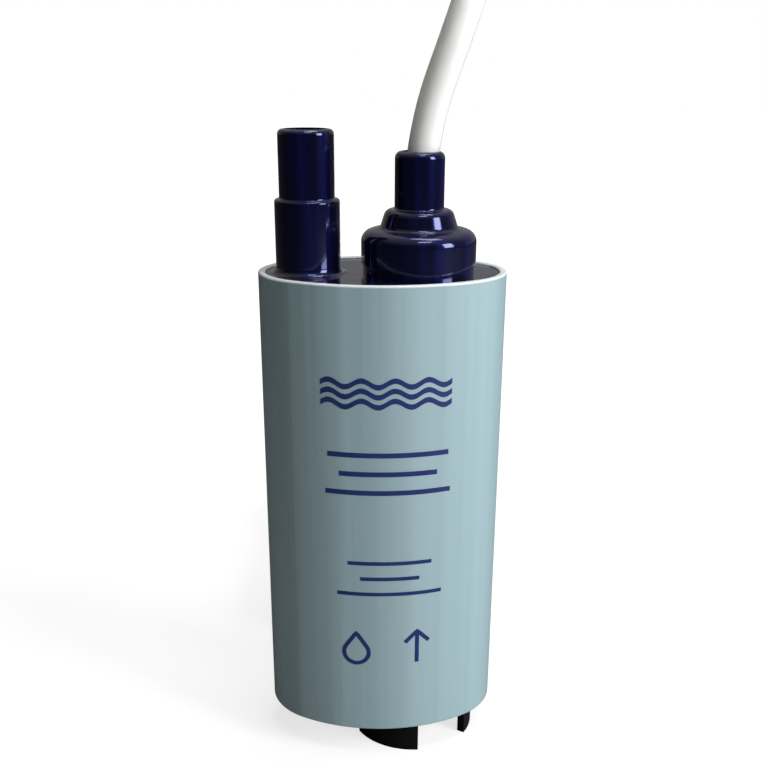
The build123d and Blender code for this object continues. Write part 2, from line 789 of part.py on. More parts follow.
# Shaft spacers: they keep the rotor's end play at the two bearings
spacer_radius = 2.1
end_play = 0.15
with BuildPart() as shaft_spacers:
    for low, high in ((front_bearing_z + bearing_length + end_play, core_bottom - running_gap),
                      (commutator_bottom + commutator_length + running_gap, rear_bearing_z - end_play)):
        with BuildSketch(Plane.XY.offset(low)):
            with Locations((motor_x, 0)):
                Circle(spacer_radius)
                Circle(rotor_bore, mode=Mode.SUBTRACT)
        extrude(amount=high - low)
finish(shaft_spacers.part, "shaft_spacers")

# Brush gear: carbon brushes on bronze arms, each arm on its own brass terminal
brush_gap = 0.1
brush_width = 2.0
brush_height = 3.0
brush_z = commutator_bottom + (commutator_length - brush_height) / 2
arm_over = 1.5
with BuildPart() as carbon_brushes:
    brush_depth = arm_x - commutator_radius - brush_gap
    with Locations(*[(motor_x + side * (arm_x - brush_depth / 2), 0, brush_z + brush_height / 2)
                     for side in (-1, 1)]):
        Box(brush_depth, brush_width, brush_height)
finish(carbon_brushes.part, "carbon_brushes")

with BuildPart() as brush_arms:
    arm_length = arm_over - terminal_low_y
    with Locations(*[(motor_x + side * (arm_x + arm_thickness / 2), arm_over - arm_length / 2,
                      brush_z + brush_height / 2) for side in (-1, 1)]):
        Box(arm_thickness, arm_length, brush_height - 2 * running_gap)
finish(brush_arms.part, "brush_arms")

with BuildPart() as motor_terminals:
    terminal_height = terminal_top - brush_z
    with Locations(*[(motor_x + side * (arm_x + arm_thickness + running_gap + terminal_thickness / 2),
                      terminal_low_y + terminal_width / 2, terminal_top - terminal_height / 2)
                     for side in (-1, 1)]):
        Box(terminal_thickness, terminal_width, terminal_height)
finish(motor_terminals.part, "motor_terminals")

# Motor spider: plastic plate that centres the can and the riser duct in the sleeve
spider_thickness = 3.0
spider_drop = 8.5
spider_z = can_top - spider_drop
with BuildPart() as motor_spider:
    with BuildSketch(Plane.XY.offset(spider_z)):
        add(plug_outline)
        with Locations((motor_x, 0)):
            Circle(can_radius + slip_gap, mode=Mode.SUBTRACT)
        with Locations((duct_x, 0)):
            Circle(duct_radius + slip_gap, mode=Mode.SUBTRACT)
    extrude(amount=spider_thickness)
finish(motor_spider.part, "motor_spider")

# Suppressor board with its capacitor and two rod chokes, against radio noise
board_radius = 11.0
board_thickness = 1.4
board_top = cap_top + board_thickness
with BuildPart() as suppressor_board:
    with BuildSketch(Plane.XY.offset(cap_top)):
        with Locations((motor_x, 0)):
            Circle(board_radius)
        for side in (-1, 1):
            with Locations((motor_x + side * (arm_x + arm_thickness + terminal_thickness / 2 + running_gap),
                            terminal_low_y + terminal_width / 2)):
                Rectangle(terminal_thickness + slip_gap, terminal_width + slip_gap, mode=Mode.SUBTRACT)
    extrude(amount=board_thickness)
finish(suppressor_board.part, "suppressor_board")

capacitor_length = 10.0
capacitor_width = 4.4
capacitor_height = 8.0
capacitor_round = 0.8
capacitor_y = 6.0
with BuildPart() as suppressor_capacitor:
    with Locations((motor_x, capacitor_y, board_top + capacitor_height / 2)):
        Box(capacitor_length, capacitor_width, capacitor_height)
    fillet(suppressor_capacitor.edges().filter_by(Axis.Z), radius=capacitor_round)
finish(suppressor_capacitor.part, "suppressor_capacitor")

choke_core_radius = 1.6
choke_core_height = 12.0
choke_coil_radius = 2.6
choke_coil_height = 9.0
choke_spread = 7.6
with BuildPart() as choke_cores:
    with BuildSketch(Plane.XY.offset(board_top)):
        with Locations((motor_x - choke_spread, 0), (motor_x + choke_spread, 0)):
            Circle(choke_core_radius)
    extrude(amount=choke_core_height)
finish(choke_cores.part, "choke_cores")

with BuildPart() as choke_coils:
    with BuildSketch(Plane.XY.offset(board_top + (choke_core_height - choke_coil_height) / 2)):
        with Locations((motor_x - choke_spread, 0), (motor_x + choke_spread, 0)):
            Circle(choke_coil_radius)
            Circle(choke_core_radius + running_gap, mode=Mode.SUBTRACT)
    extrude(amount=choke_coil_height)
finish(choke_coils.part, "choke_coils")

# Inner leads: the cable's two cores, from the end of its sheath down to the board
lead_radius = 1.1
lead_spread = 1.35
lead_foot_x = 3.6
lead_foot_y = -3.4
lead_drop = 5.0
lead_radius_of_bends = [4.0, 4.0]


def swept_tube(path, radius):
    """A round solid bar along a path of lines and arcs."""
    with BuildPart() as bar:
        with BuildSketch(Plane(origin=path @ 0, z_dir=path % 0)):
            Circle(radius)
        sweep(path=path)
    return bar.part


for lead_name, side in (("inner_lead_brown", -1), ("inner_lead_blue", 1)):
    with BuildLine() as lead_path:
        FilletPolyline(
            (motor_x + side * lead_spread, 0, sheath_bottom),
            (motor_x + side * lead_spread, 0, sheath_bottom - lead_drop),
            (motor_x + side * lead_foot_x, lead_foot_y, board_top + lead_drop),
            (motor_x + side * lead_foot_x, lead_foot_y, board_top),
            radius=lead_radius_of_bends,
        )
    finish(swept_tube(lead_path.wires()[0], lead_radius), lead_name)

# Impeller: closed at the back, five blades swept backwards
impeller_gap = 0.8
impeller_bottom = plate_top + impeller_gap
impeller_height = 4.6
impeller_back = 0.9
impeller_hub_radius = 2.9
blade_count = 5
blade_thickness = 0.9
blade_inner = 3.4
blade_tip = impeller_radius - blade_thickness
blade_sweep = 62.0
with BuildSketch() as blade:
    with BuildLine():
        ThreePointArc(
            (impeller_hub_radius - blade_thickness, 0),
            ((blade_inner + blade_tip) / 2 * cos(radians(blade_sweep / 3)),
             (blade_inner + blade_tip) / 2 * sin(radians(blade_sweep / 3))),
            (blade_tip * cos(radians(blade_sweep)), blade_tip * sin(radians(blade_sweep))),
        )
    trace(line_width=blade_thickness)
with BuildPart() as impeller:
    with BuildSketch(Plane.XY.offset(impeller_bottom)):
        with Locations((motor_x, 0)):
            Circle(impeller_hub_radius)
            with PolarLocations(0, blade_count):
                add(blade.sketch)
            Circle(rotor_bore, mode=Mode.SUBTRACT)
    extrude(amount=impeller_height)
    with BuildSketch(Plane.XY.offset(impeller_bottom + impeller_height - impeller_back)):
        with Locations((motor_x, 0)):
            Circle(impeller_radius)
            Circle(rotor_bore, mode=Mode.SUBTRACT)
    extrude(amount=impeller_back)
finish(impeller.part, "impeller")

# Supply cable, free stretch: out of the neck, over and down behind the pump to the surface.
# The points are millimetres from the origin, chosen by hand along the way it lies.
hank_x = 1.0
strap_thickness = 0.6
floor_lift = cable_radius + strap_thickness + slip_gap
hank_outer = 26.6
hank_start_y = 97.4
cable_route = [
    (motor_x, 0, cable_start_z),
    (motor_x, 0, 126.3),
    (15.2, 1.5, 148.5),
    (21.4, 13.9, 165.6),
    (24.7, 34.3, 173.0),
    (25.1, 55.6, 167.3),
    (22.5, 69.3, 150.3),
    (12.0, 71.0, 121.0),
    (15.5, 64.0, 92.0),
    (22.5, 54.0, 64.0),
    (26.4, 49.3, 36.1),
    (27.4, 57.5, 15.7),
    (hank_x + hank_outer, 76.0, floor_lift),
    (hank_x + hank_outer, hank_start_y, floor_lift),
]
bend_share = 0.45


def bend_radii(points):
    """The largest even bends: each takes a share of its shorter run."""
    radii = []
    for before, corner, after in zip(points, points[1:], points[2:]):
        run_in = Vector(*corner) - Vector(*before)
        run_out = Vector(*after) - Vector(*corner)
        half_turn = radians(run_in.get_angle(run_out)) / 2
        radii.append(bend_share * min(run_in.length, run_out.length) / tan(half_turn))
    return radii


cable_bends = bend_radii(cable_route)
print("cable bend radii", [round(radius, 1) for radius in cable_bends])
with BuildLine() as cable_path:
    FilletPolyline(*cable_route, radius=cable_bends)
cable_wire = cable_path.wires()[0]
cable_part = swept_tube(cable_wire, cable_radius)
print("free cable length", round(cable_wire.length, 1), "volume",
      round(cable_part.volume), "expected", round(pi * cable_radius**2 * cable_wire.length))
finish(cable_part, "power_cable")

# Cable hank: the rest of the cable in flat loops behind the pump, two layers deep,
# spiralling in below and out again above, drawn in at the waist where the strap holds it.
hank_pitch = 6.9
hank_near_y = 49.4
hank_far_y = 103.4
hank_waist_draw = 5.0
hank_waist_half = 6.0
hank_shoulder = 4.0
hank_layer = 6.8
hank_end_y = 57.0
hank_waist_y = (hank_near_y + hank_far_y) / 2
columns = [hank_outer - hank_pitch * step / 2 for step in range(4)]
low_z = floor_lift
high_z = floor_lift + hank_layer


def hank_run(half_width, side, heading, z_from, z_to):
    """One long run: straight, in to the waist, along it, and out again, on one side of the hank."""
    start_y, end_y = (hank_near_y, hank_far_y) if heading > 0 else (hank_far_y, hank_near_y)
    ys = [start_y, start_y + heading * hank_shoulder, hank_waist_y - heading * hank_waist_half,
          hank_waist_y + heading * hank_waist_half, end_y - heading * hank_shoulder, end_y]
    draws = [0, 0, hank_waist_draw, hank_waist_draw, 0, 0]
    points = []
    for y, draw in zip(ys, draws):
        climbed = min(max((y - ys[1]) / (ys[4] - ys[1]), 0), 1)
        points.append((hank_x + side * (half_width - draw), y, z_from + climbed * (z_to - z_from)))
    return points


def hank_fold(half_width_in, half_width_out, side, heading, z):
    """Start, top and end of a half turn, from one side of the hank to the other."""
    turn_radius = (half_width_in + half_width_out) / 2
    y = hank_far_y if heading > 0 else hank_near_y
    middle_x = hank_x + side * (half_width_in - half_width_out) / 2
    return [(hank_x + side * half_width_in, y, z), (middle_x, y + heading * turn_radius, z),
            (hank_x - side * half_width_out, y, z)]


# Each row: half width before and after the fold, side it leaves from, heading, and the
# heights at the start and the end of the run that follows
hank_turns = [
    (columns[0], columns[1], 1, 1, low_z, low_z),
    (columns[1], columns[2], -1, -1, low_z, low_z),
    (columns[2], columns[3], 1, 1, low_z, high_z),
    (columns[3], columns[2], -1, -1, high_z, high_z),
    (columns[2], columns[1], 1, 1, high_z, high_z),
]
last_before, last_after, last_side, last_heading, last_from, last_to = hank_turns[-1]
last_run = hank_run(last_after, -last_side, -last_heading, last_from, last_to)
waist_end, shoulder_end = last_run[3], last_run[4]
end_part = (hank_end_y - waist_end[1]) / (shoulder_end[1] - waist_end[1])
hank_end = tuple(inner + end_part * (outer - inner) for inner, outer in zip(waist_end, shoulder_end))

with BuildLine() as hank_path:
    Line((hank_x + hank_outer, hank_start_y, low_z), (hank_x + hank_outer, hank_far_y, low_z))
    for before, after, side, heading, z_from, z_to in hank_turns:
        ThreePointArc(*hank_fold(before, after, side, heading, z_from))
        run_points = hank_run(after, -side, -heading, z_from, z_to)
        if (before, after) == (last_before, last_after):
            run_points = run_points[:4] + [hank_end]
        FilletPolyline(*run_points, radius=bend_radii(run_points))
hank_wire = hank_path.wires()[0]
print("hank waist bends", [round(radius, 1) for radius in bend_radii(run_points)])
hank_part = swept_tube(hank_wire, cable_radius)
print("hank length", round(hank_wire.length, 1), "volume", round(hank_part.volume), "expected",
      round(pi * cable_radius**2 * hank_wire.length))
print("cable length outside the neck", round(cable_wire.length + hank_wire.length - cable_inside_neck, 1))

# Least gap of the hank to itself, on points two millimetres apart
sample_step = 2.0
sample_count = ceil(hank_wire.length / sample_step)
samples = [hank_wire.position_at(step / sample_count) for step in range(sample_count + 1)]
skip = ceil(pi * cable_radius * 2 / sample_step)
least_gap = min((first - second).length for index, first in enumerate(samples)
                for second in samples[index + skip:]) - 2 * cable_radius
print("least gap of the hank to itself", round(least_gap, 2))
finish(hank_part, "cable_hank")

# Cable strap: one band round the waist of the hank, past the stretch that comes from the pump
strap_width = 8.0
strap_side_gap = 0.3
strap_left = hank_x - (columns[1] - hank_waist_draw) - cable_radius - strap_side_gap
strap_right = hank_x + columns[2] - hank_waist_draw + cable_radius + strap_side_gap
strap_low = low_z - cable_radius - slip_gap
strap_high = high_z + cable_radius + slip_gap
strap_corner = cable_radius + slip_gap
with BuildPart() as cable_strap:
    with BuildSketch(Plane(origin=((strap_left + strap_right) / 2, hank_waist_y + strap_width / 2,
                                   (strap_low + strap_high) / 2), x_dir=(1, 0, 0), z_dir=(0, -1, 0))):
        RectangleRounded(strap_right - strap_left + 2 * strap_thickness,
                         strap_high - strap_low + 2 * strap_thickness, strap_corner + strap_thickness)
        RectangleRounded(strap_right - strap_left, strap_high - strap_low, strap_corner,
                         mode=Mode.SUBTRACT)
    extrude(amount=strap_width)
finish(cable_strap.part, "cable_strap")

# Bare end of the cable: the two cores come out side by side, each with a stripped tip
tip_radius = 0.7
tip_length = 6.0
core_straight = 4.0
brown_way = [(-23.9, 46.0, 9.0), (-24.4, 38.5, 8.2)]
blue_way = [(-21.2, 46.0, 9.3), (-20.4, 38.5, 9.0)]
core_start = hank_wire @ 1
core_run = hank_wire % 1
core_across = core_run.cross(Vector(0, 0, 1))
tips = []
for core_name, side, way in (("core_brown", 1, brown_way), ("core_blue", -1, blue_way)):
    start = core_start + core_across * side * lead_spread
    core_points = [tuple(start), tuple(start + core_run * core_straight), *way]
    with BuildLine() as core_path:
        FilletPolyline(*core_points, radius=bend_radii(core_points))
    core_wire = core_path.wires()[0]
    core_part = swept_tube(core_wire, lead_radius)
    print(core_name, "length", round(core_wire.length + tip_length, 1), "bends",
          [round(radius, 1) for radius in bend_radii(core_points)])
    finish(core_part, core_name)
    tips.append(Plane(origin=core_wire @ 1, z_dir=core_wire % 1))

with BuildPart() as core_tips:
    for tip_plane in tips:
        with BuildSketch(tip_plane):
            Circle(tip_radius)
        extrude(amount=tip_length)
finish(core_tips.part, "core_tips")
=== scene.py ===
import math

import bmesh
import bpy
from mathutils import Euler, Matrix, Vector


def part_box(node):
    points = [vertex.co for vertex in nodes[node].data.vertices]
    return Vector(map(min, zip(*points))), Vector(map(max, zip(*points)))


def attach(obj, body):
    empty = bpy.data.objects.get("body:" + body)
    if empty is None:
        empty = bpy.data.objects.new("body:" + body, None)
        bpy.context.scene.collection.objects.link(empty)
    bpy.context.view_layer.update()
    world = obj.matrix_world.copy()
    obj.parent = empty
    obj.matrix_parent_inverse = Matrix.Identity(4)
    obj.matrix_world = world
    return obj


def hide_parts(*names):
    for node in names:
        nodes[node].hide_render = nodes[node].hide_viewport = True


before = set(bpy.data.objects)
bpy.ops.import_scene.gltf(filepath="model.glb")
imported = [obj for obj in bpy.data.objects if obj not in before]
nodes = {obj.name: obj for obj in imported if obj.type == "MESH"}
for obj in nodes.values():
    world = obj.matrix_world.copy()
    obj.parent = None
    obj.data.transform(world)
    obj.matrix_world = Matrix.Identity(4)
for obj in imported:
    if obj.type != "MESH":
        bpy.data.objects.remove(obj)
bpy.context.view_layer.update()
mm = 0.001

# Camera: held close to the pump, above its top and tilted down, as the photograph was taken,
# so that the sleeve narrows towards the feet. The frame is moved up a little on its picture.
camera_place = Vector((-5.76, -202.37, 138.11)) * mm
camera_tilt_down = 0.374004
camera_turn = 0.030177
camera_roll = 0.003994


def add_to_scene(name, data):
    """A new object at the origin with that mesh, curve, camera or lamp."""
    piece = bpy.data.objects.new(name, data)
    bpy.context.scene.collection.objects.link(piece)
    return piece


camera_data = bpy.data.cameras.new("camera")
camera_data.sensor_width = 36.0
camera_data.lens = 49.05
camera_data.shift_x = -0.0008
camera_data.shift_y = 0.1214
camera_data.clip_start = 0.005
camera = add_to_scene("camera", camera_data)
camera_facing = Euler((math.pi / 2 - camera_tilt_down, 0, -camera_turn), "XYZ").to_matrix()
camera.matrix_world = (Matrix.Translation(camera_place)
                       @ (camera_facing @ Matrix.Rotation(camera_roll, 3, "Z")).to_4x4())
bpy.context.scene.camera = camera

# Supply cable: white two-core cable in a round PVC sheath. It stands up out of the gland's
# neck, bends over by its own stiffness and comes down behind the pump, where the rest of it
# lies folded in a tied hank. One spline carries it from the neck to its stripped end.
gland_x = 6.9
cable_radius = 3.0
cable_roundness = 7
cable_lift = 3.7
cable_layer = 6.8
hank_x = 1.0
hank_half_widths = [26.6, 23.15, 19.7, 16.25]
hank_near_y = 49.4
hank_far_y = 103.4
hank_shoulder = 4.0
hank_waist_half = 6.0
hank_waist_draw = 5.0
cable_start_z = 114.5
cable_points = [
    (gland_x, 0, cable_start_z), (gland_x, 0, 126.3), (15.2, 1.5, 148.5), (21.4, 13.9, 165.6),
    (24.7, 34.3, 173.0), (25.1, 55.6, 167.3), (22.5, 69.3, 150.3), (12.0, 71.0, 121.0),
    (15.5, 64.0, 92.0), (22.5, 54.0, 64.0), (26.4, 49.3, 36.1), (27.4, 57.5, 15.7),
    (27.6, 76.0, cable_lift), (27.6, 97.4, cable_lift)]
fold_corners = 4
fold_step = math.pi / fold_corners
low = cable_lift
high = cable_lift + cable_layer
wide, second, third, inner = hank_half_widths
hank_waist_y = (hank_near_y + hank_far_y) / 2
for before, after, side, heading, z_from, z_to in [
        (wide, second, 1, 1, low, low), (second, third, -1, -1, low, low),
        (third, inner, 1, 1, low, high), (inner, third, -1, -1, high, high),
        (third, second, 1, 1, high, high)]:
    fold_radius = (before + after) / 2
    fold_x = hank_x + side * (before - after) / 2
    fold_y = hank_far_y if heading > 0 else hank_near_y
    corner_radius = fold_radius / math.cos(fold_step / 2)
    for corner in range(fold_corners):
        turn = (corner + 0.5) * fold_step
        cable_points.append((fold_x + side * corner_radius * math.cos(turn),
                             fold_y + heading * corner_radius * math.sin(turn), z_from))
    start_y = fold_y - heading * hank_shoulder
    other_y = (hank_near_y if heading > 0 else hank_far_y) + heading * hank_shoulder
    for y, draw in ((start_y, 0), (hank_waist_y + heading * hank_waist_half, hank_waist_draw),
                    (hank_waist_y - heading * hank_waist_half, hank_waist_draw), (other_y, 0)):
        climbed = (y - start_y) / (other_y - start_y)
        cable_points.append((hank_x - side * (after - draw), y, z_from + climbed * (z_to - z_from)))
hank_end = (-21.09, 57.0, high)
cable_points[-1] = hank_end


def smooth_run(name, points, radius, roundness):
    """A round, bendy run along points in millimetres, with flat closed ends."""
    curve = bpy.data.curves.new(name, "CURVE")
    curve.dimensions = "3D"
    line = curve.splines.new("NURBS")
    line.points.add(len(points) - 1)
    for point, (x, y, z) in zip(line.points, points):
        point.co = (x * mm, y * mm, z * mm, 1)
    line.order_u = 3
    line.use_endpoint_u = True
    curve.resolution_u = 12
    curve.bevel_depth = radius * mm
    curve.bevel_resolution = roundness
    curve.use_fill_caps = True
    return add_to_scene(name, curve)


def add_node(tree, kind, values=None, **settings):
    """A new node with its settings, and its inputs from numbers or other nodes' outputs."""
    node = tree.nodes.new(kind)
    for setting, value in settings.items():
        setattr(node, setting, value)
    for socket, value in (values or {}).items():
        if isinstance(value, bpy.types.NodeSocket):
            tree.links.new(value, node.inputs[socket])
        else:
            node.inputs[socket].default_value = value
    return node


def shader_inputs(finish):
    """The inputs of a material's shader."""
    return finish.node_tree.nodes["Principled BSDF"].inputs


def new_finish(name, base, roughness, others=None):
    """A material with one colour, one roughness and other values on its shader's inputs."""
    finish = bpy.data.materials.new(name)
    finish.use_nodes = True
    shader_inputs(finish)["Base Color"].default_value = (*base, 1)
    shader_inputs(finish)["Roughness"].default_value = roughness
    for socket, value in (others or {}).items():
        shader_inputs(finish)[socket].default_value = value
    return finish


def grain(finish, scale, detail=4.0, stretch=(1, 1, 1)):
    """A noise pattern on the piece's own coordinates, finer where stretch is larger."""
    tree = finish.node_tree
    place = add_node(tree, "ShaderNodeTexCoord").outputs["Object"]
    spread = add_node(tree, "ShaderNodeMapping", {"Vector": place, "Scale": stretch})
    return add_node(tree, "ShaderNodeTexNoise", {"Vector": spread.outputs["Vector"],
                                                 "Scale": scale, "Detail": detail}).outputs["Fac"]


def between(owner, amount, low=0.0, high=1.0, from_low=0.0, from_high=1.0):
    """Maps a pattern's values to the range from low to high."""
    return add_node(owner.node_tree, "ShaderNodeMapRange",
                    {"Value": amount, "From Min": from_low, "From Max": from_high,
                     "To Min": low, "To Max": high}).outputs["Result"]


def mixed(owner, amount, first, second):
    """A colour between first and second, each a colour or another node's output."""
    tones = [(*tone, 1) if isinstance(tone, tuple) else tone for tone in (first, second)]
    return add_node(owner.node_tree, "ShaderNodeMix",
                    {"Factor": amount, "A": tones[0], "B": tones[1]},
                    data_type="RGBA").outputs["Result"]


def two_tones(finish, amount, first, second):
    """Colour that goes from first to second with a pattern, put on the shader."""
    tone = mixed(finish, amount, first, second)
    finish.node_tree.links.new(tone, shader_inputs(finish)["Base Color"])
    return tone


def relief(finish, height, distance):
    """Fine bumps from a pattern, with the real height of the bumps in metres."""
    bump = add_node(finish.node_tree, "ShaderNodeBump", {"Height": height, "Distance": distance})
    finish.node_tree.links.new(bump.outputs["Normal"], shader_inputs(finish)["Normal"])


def dress(finish, *names):
    """Gives CAD nodes their finish."""
    for name in names:
        mesh = nodes[name].data
        mesh.materials.clear()
        mesh.materials.append(finish)


supply_cable = smooth_run("supply_cable", cable_points, cable_radius, cable_roundness)
sheath_white = new_finish("white_sheath", (0.90, 0.90, 0.89), 0.34, {
    "Coat Weight": 0.25, "Coat Roughness": 0.2, "Subsurface Weight": 0.8,
    "Subsurface Radius": (1.0, 1.0, 0.95), "Subsurface Scale": 4.0 * mm})
sheath_clouds = between(sheath_white, grain(sheath_white, 60.0), from_low=0.4, from_high=0.75)
two_tones(sheath_white, sheath_clouds, (0.88, 0.88, 0.87), (0.83, 0.83, 0.81))
relief(sheath_white, grain(sheath_white, 900.0), 0.04 * mm)
supply_cable.data.materials.append(sheath_white)
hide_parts("power_cable", "cable_hank")
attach(supply_cable, "pump")
dress(sheath_white, "cable_entry")

# Bare end: the cable's two cores in brown and blue PVC come out of the sheath side by side,
# each stripped and tinned at its tip. Inside the pump the same two cores run to the board.
core_radius = 1.1
core_roundness = 5
core_spread = 1.35
core_straight = 4.0
core_ways = {"brown": [(-23.9, 46.0, 9.0), (-24.4, 38.5, 8.2)],
             "blue": [(-21.2, 46.0, 9.3), (-20.4, 38.5, 9.0)]}
lead_drop = 5.0
lead_foot_x = 3.6
lead_foot_y = -3.4
core_finishes = {}
for colour, base, light, dark in (
        ("brown", (0.17, 0.065, 0.03), (0.19, 0.075, 0.035), (0.13, 0.05, 0.025)),
        ("blue", (0.03, 0.12, 0.45), (0.03, 0.13, 0.48), (0.022, 0.09, 0.36))):
    core_finish = new_finish(colour + "_core", base, 0.35)
    two_tones(core_finish, grain(core_finish, 300.0), light, dark)
    relief(core_finish, grain(core_finish, 1500.0), 0.03 * mm)
    core_finishes[colour] = core_finish
tinned = new_finish("tinned_copper", (0.72, 0.68, 0.62), 0.3, {"Metallic": 1.0})
two_tones(tinned, grain(tinned, 900.0), (0.74, 0.71, 0.66), (0.60, 0.55, 0.48))
relief(tinned, grain(tinned, 2500.0), 0.08 * mm)


def core_run(name, points, colour, node_name):
    """One insulated core along its points, in place of its plain solid."""
    piece = smooth_run(name, points, core_radius, core_roundness)
    piece.data.materials.append(core_finishes[colour])
    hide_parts(node_name)
    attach(piece, "pump")
    return piece


sheath_end = Vector(hank_end)
sheath_run = (sheath_end - Vector(cable_points[-2])).normalized()
core_across = sheath_run.cross(Vector((0, 0, 1)))
for colour, side in (("brown", 1), ("blue", -1)):
    leaves = sheath_end + core_across * side * core_spread
    core_points = [tuple(leaves), tuple(leaves + sheath_run * core_straight), *core_ways[colour]]
    core_run("bare_core_" + colour, core_points, colour, "core_" + colour)
sheath_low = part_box("cable_entry")[0][2] / mm
board_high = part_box("suppressor_board")[1][2] / mm
for colour, side in (("brown", -1), ("blue", 1)):
    core_run("lead_" + colour, [(gland_x + side * core_spread, 0, sheath_low),
                                (gland_x + side * core_spread, 0, sheath_low - lead_drop),
                                (gland_x + side * lead_foot_x, lead_foot_y, board_high + lead_drop),
                                (gland_x + side * lead_foot_x, lead_foot_y, board_high)],
             colour, "inner_lead_" + colour)
dress(tinned, "core_tips")

# Hank strap: one band of woven tape with hooks and loops. It goes once round the waist of the
# hank and its rounded end is pressed down on the start of the band.
strap_low, strap_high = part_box("cable_strap")
strap_thickness = 0.6 * mm
strap_tape_share = 0.9
strap_corner = 3.7 * mm
strap_corner_steps = 6
strap_overlap = 17.0 * mm
strap_end_round = 4.0 * mm
strap_tip_half = 0.3 * mm
strap_lap_lift = 0.64 * mm
strap_lap_rise_steps = 5
strap_step = 0.8 * mm
strap_columns = 8
strap_black = new_finish("woven_strap", (0.02, 0.02, 0.022), 0.85, {"Sheen Weight": 0.25})
strap_weave = between(strap_black, grain(strap_black, 1300.0, detail=2.0, stretch=(1, 2.5, 1)),
                      from_low=0.35, from_high=0.65)
relief(strap_black, strap_weave, 0.3 * mm)
two_tones(strap_black, strap_weave, (0.006, 0.006, 0.007), (0.035, 0.035, 0.038))
band_left, band_right = strap_low[0] + strap_thickness / 2, strap_high[0] - strap_thickness / 2
band_under, band_over = strap_low[2] + strap_thickness / 2, strap_high[2] - strap_thickness / 2
band_corner = strap_corner - strap_thickness / 2
band_start_x = (band_left + band_right) / 2
ring_points = [(band_start_x, band_over)]
for centre_x, centre_z, from_turn in (
        (band_left + band_corner, band_over - band_corner, 90),
        (band_left + band_corner, band_under + band_corner, 180),
        (band_right - band_corner, band_under + band_corner, 270),
        (band_right - band_corner, band_over - band_corner, 360)):
    for step in range(strap_corner_steps + 1):
        turn = math.radians(from_turn + step * 90 / strap_corner_steps)
        ring_points.append((centre_x + band_corner * math.cos(turn),
                            centre_z + band_corner * math.sin(turn)))
ring_points.append((band_start_x, band_over))
band_line = [ring_points[0]]
for there in ring_points[1:]:
    here = band_line[-1]
    pieces = max(1, round(math.dist(here, there) / strap_step))
    band_line.extend((here[0] + (there[0] - here[0]) * piece / pieces,
                      here[1] + (there[1] - here[1]) * piece / pieces)
                     for piece in range(1, pieces + 1))
lap_steps = round(strap_overlap / strap_step)
for step in range(1, lap_steps + 1):
    rise = min(1.0, step / strap_lap_rise_steps)
    band_line.append((band_start_x - step * strap_step,
                      band_over + strap_lap_lift * rise * rise * (3 - 2 * rise)))
last_on_ring = len(band_line) - lap_steps - 2
band_line = [(x, z + (strap_lap_lift if index > last_on_ring and z < band_over else 0))
             for index, (x, z) in enumerate(band_line)]
strap_middle_y = (strap_low[1] + strap_high[1]) / 2
strap_half = (strap_high[1] - strap_low[1]) / 2
strap_mesh = bpy.data.meshes.new("tied_strap")
weave = bmesh.new()
rows = []
for index, (x, z) in enumerate(band_line):
    left = (len(band_line) - 1 - index) * strap_step
    half = strap_half
    if left < strap_end_round:
        half -= strap_end_round - math.sqrt(strap_end_round ** 2 - (strap_end_round - left) ** 2)
    half = max(half, strap_tip_half)
    rows.append([weave.verts.new((x, strap_middle_y + half * (2 * column / strap_columns - 1), z))
                 for column in range(strap_columns + 1)])
for first_row, next_row in zip(rows, rows[1:]):
    for column in range(strap_columns):
        weave.faces.new((first_row[column], next_row[column],
                         next_row[column + 1], first_row[column + 1]))
bmesh.ops.recalc_face_normals(weave, faces=weave.faces)
for face in weave.faces:
    face.smooth = True
weave.to_mesh(strap_mesh)
weave.free()
strap_mesh.materials.append(strap_black)
tied_strap = add_to_scene("tied_strap", strap_mesh)
strap_body = tied_strap.modifiers.new("thickness", "SOLIDIFY")
strap_body.thickness = strap_thickness * strap_tape_share
strap_body.offset = 0.0
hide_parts("cable_strap")
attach(tied_strap, "pump")

# Outer sleeve: an extruded oval tube of pale blue-grey plastic with a satin face, and a painted
# highlight in near-white along the top of its rim.
sleeve_grey = new_finish("sleeve_plastic", (0.33, 0.45, 0.49), 0.34,
                         {"Coat Weight": 0.25, "Coat Roughness": 0.22})
rim_height = 101.5
rim_highlight_from = 101.05
rim_highlight_strongest = 0.95
# Upright streaks in the colour: partly the plastic's own flow tone and partly painted reflections
# of the satin face.
sleeve_flow_and_sheen_streaks = between(sleeve_grey, grain(sleeve_grey, 170.0, detail=5.0, stretch=(1, 1, 0.010)),
                      from_low=0.36, from_high=0.64)
sleeve_tone = two_tones(sleeve_grey, sleeve_flow_and_sheen_streaks, (0.290, 0.420, 0.455), (0.350, 0.490, 0.535))
sleeve_place = add_node(sleeve_grey.node_tree, "ShaderNodeTexCoord").outputs["Object"]
sleeve_heights = add_node(sleeve_grey.node_tree, "ShaderNodeSeparateXYZ", {"Vector": sleeve_place})
# Painted highlight: over the last half millimetre below the rim's top the colour goes to
# near-white, in place of light caught on the edge.
painted_rim_highlight = between(sleeve_grey, sleeve_heights.outputs["Z"], high=rim_highlight_strongest,
                    from_low=rim_highlight_from * mm, from_high=rim_height * mm)
two_tones(sleeve_grey, painted_rim_highlight, sleeve_tone, (0.88, 0.93, 0.93))


def uneven_gloss(finish, pattern, low, high):
    """Roughness that a pattern leads from low to high."""
    finish.node_tree.links.new(between(finish, pattern, low, high),
                               shader_inputs(finish)["Roughness"])


uneven_gloss(sleeve_grey, grain(sleeve_grey, 180.0, detail=2.0, stretch=(1, 1, 0.02)), 0.30, 0.42)
relief(sleeve_grey, grain(sleeve_grey, 100.0, detail=3.0, stretch=(1, 1, 0.02)), 0.4 * mm)
dress(sleeve_grey, "outer_sleeve")

# Print on the sleeve's front: one pass of blue ink. It holds only plain signs: three waves,
# rows of rules, a drop and an arrow that points the way the water leaves.
front_radius = 33.375
front_middle_y = 16.875
ink_thickness = 0.02
ink_lift = 0.012
ink_blue = new_finish("blue_ink", (0.016, 0.040, 0.23), 0.45)
two_tones(ink_blue, grain(ink_blue, 420.0), (0.008, 0.021, 0.125), (0.014, 0.034, 0.18))


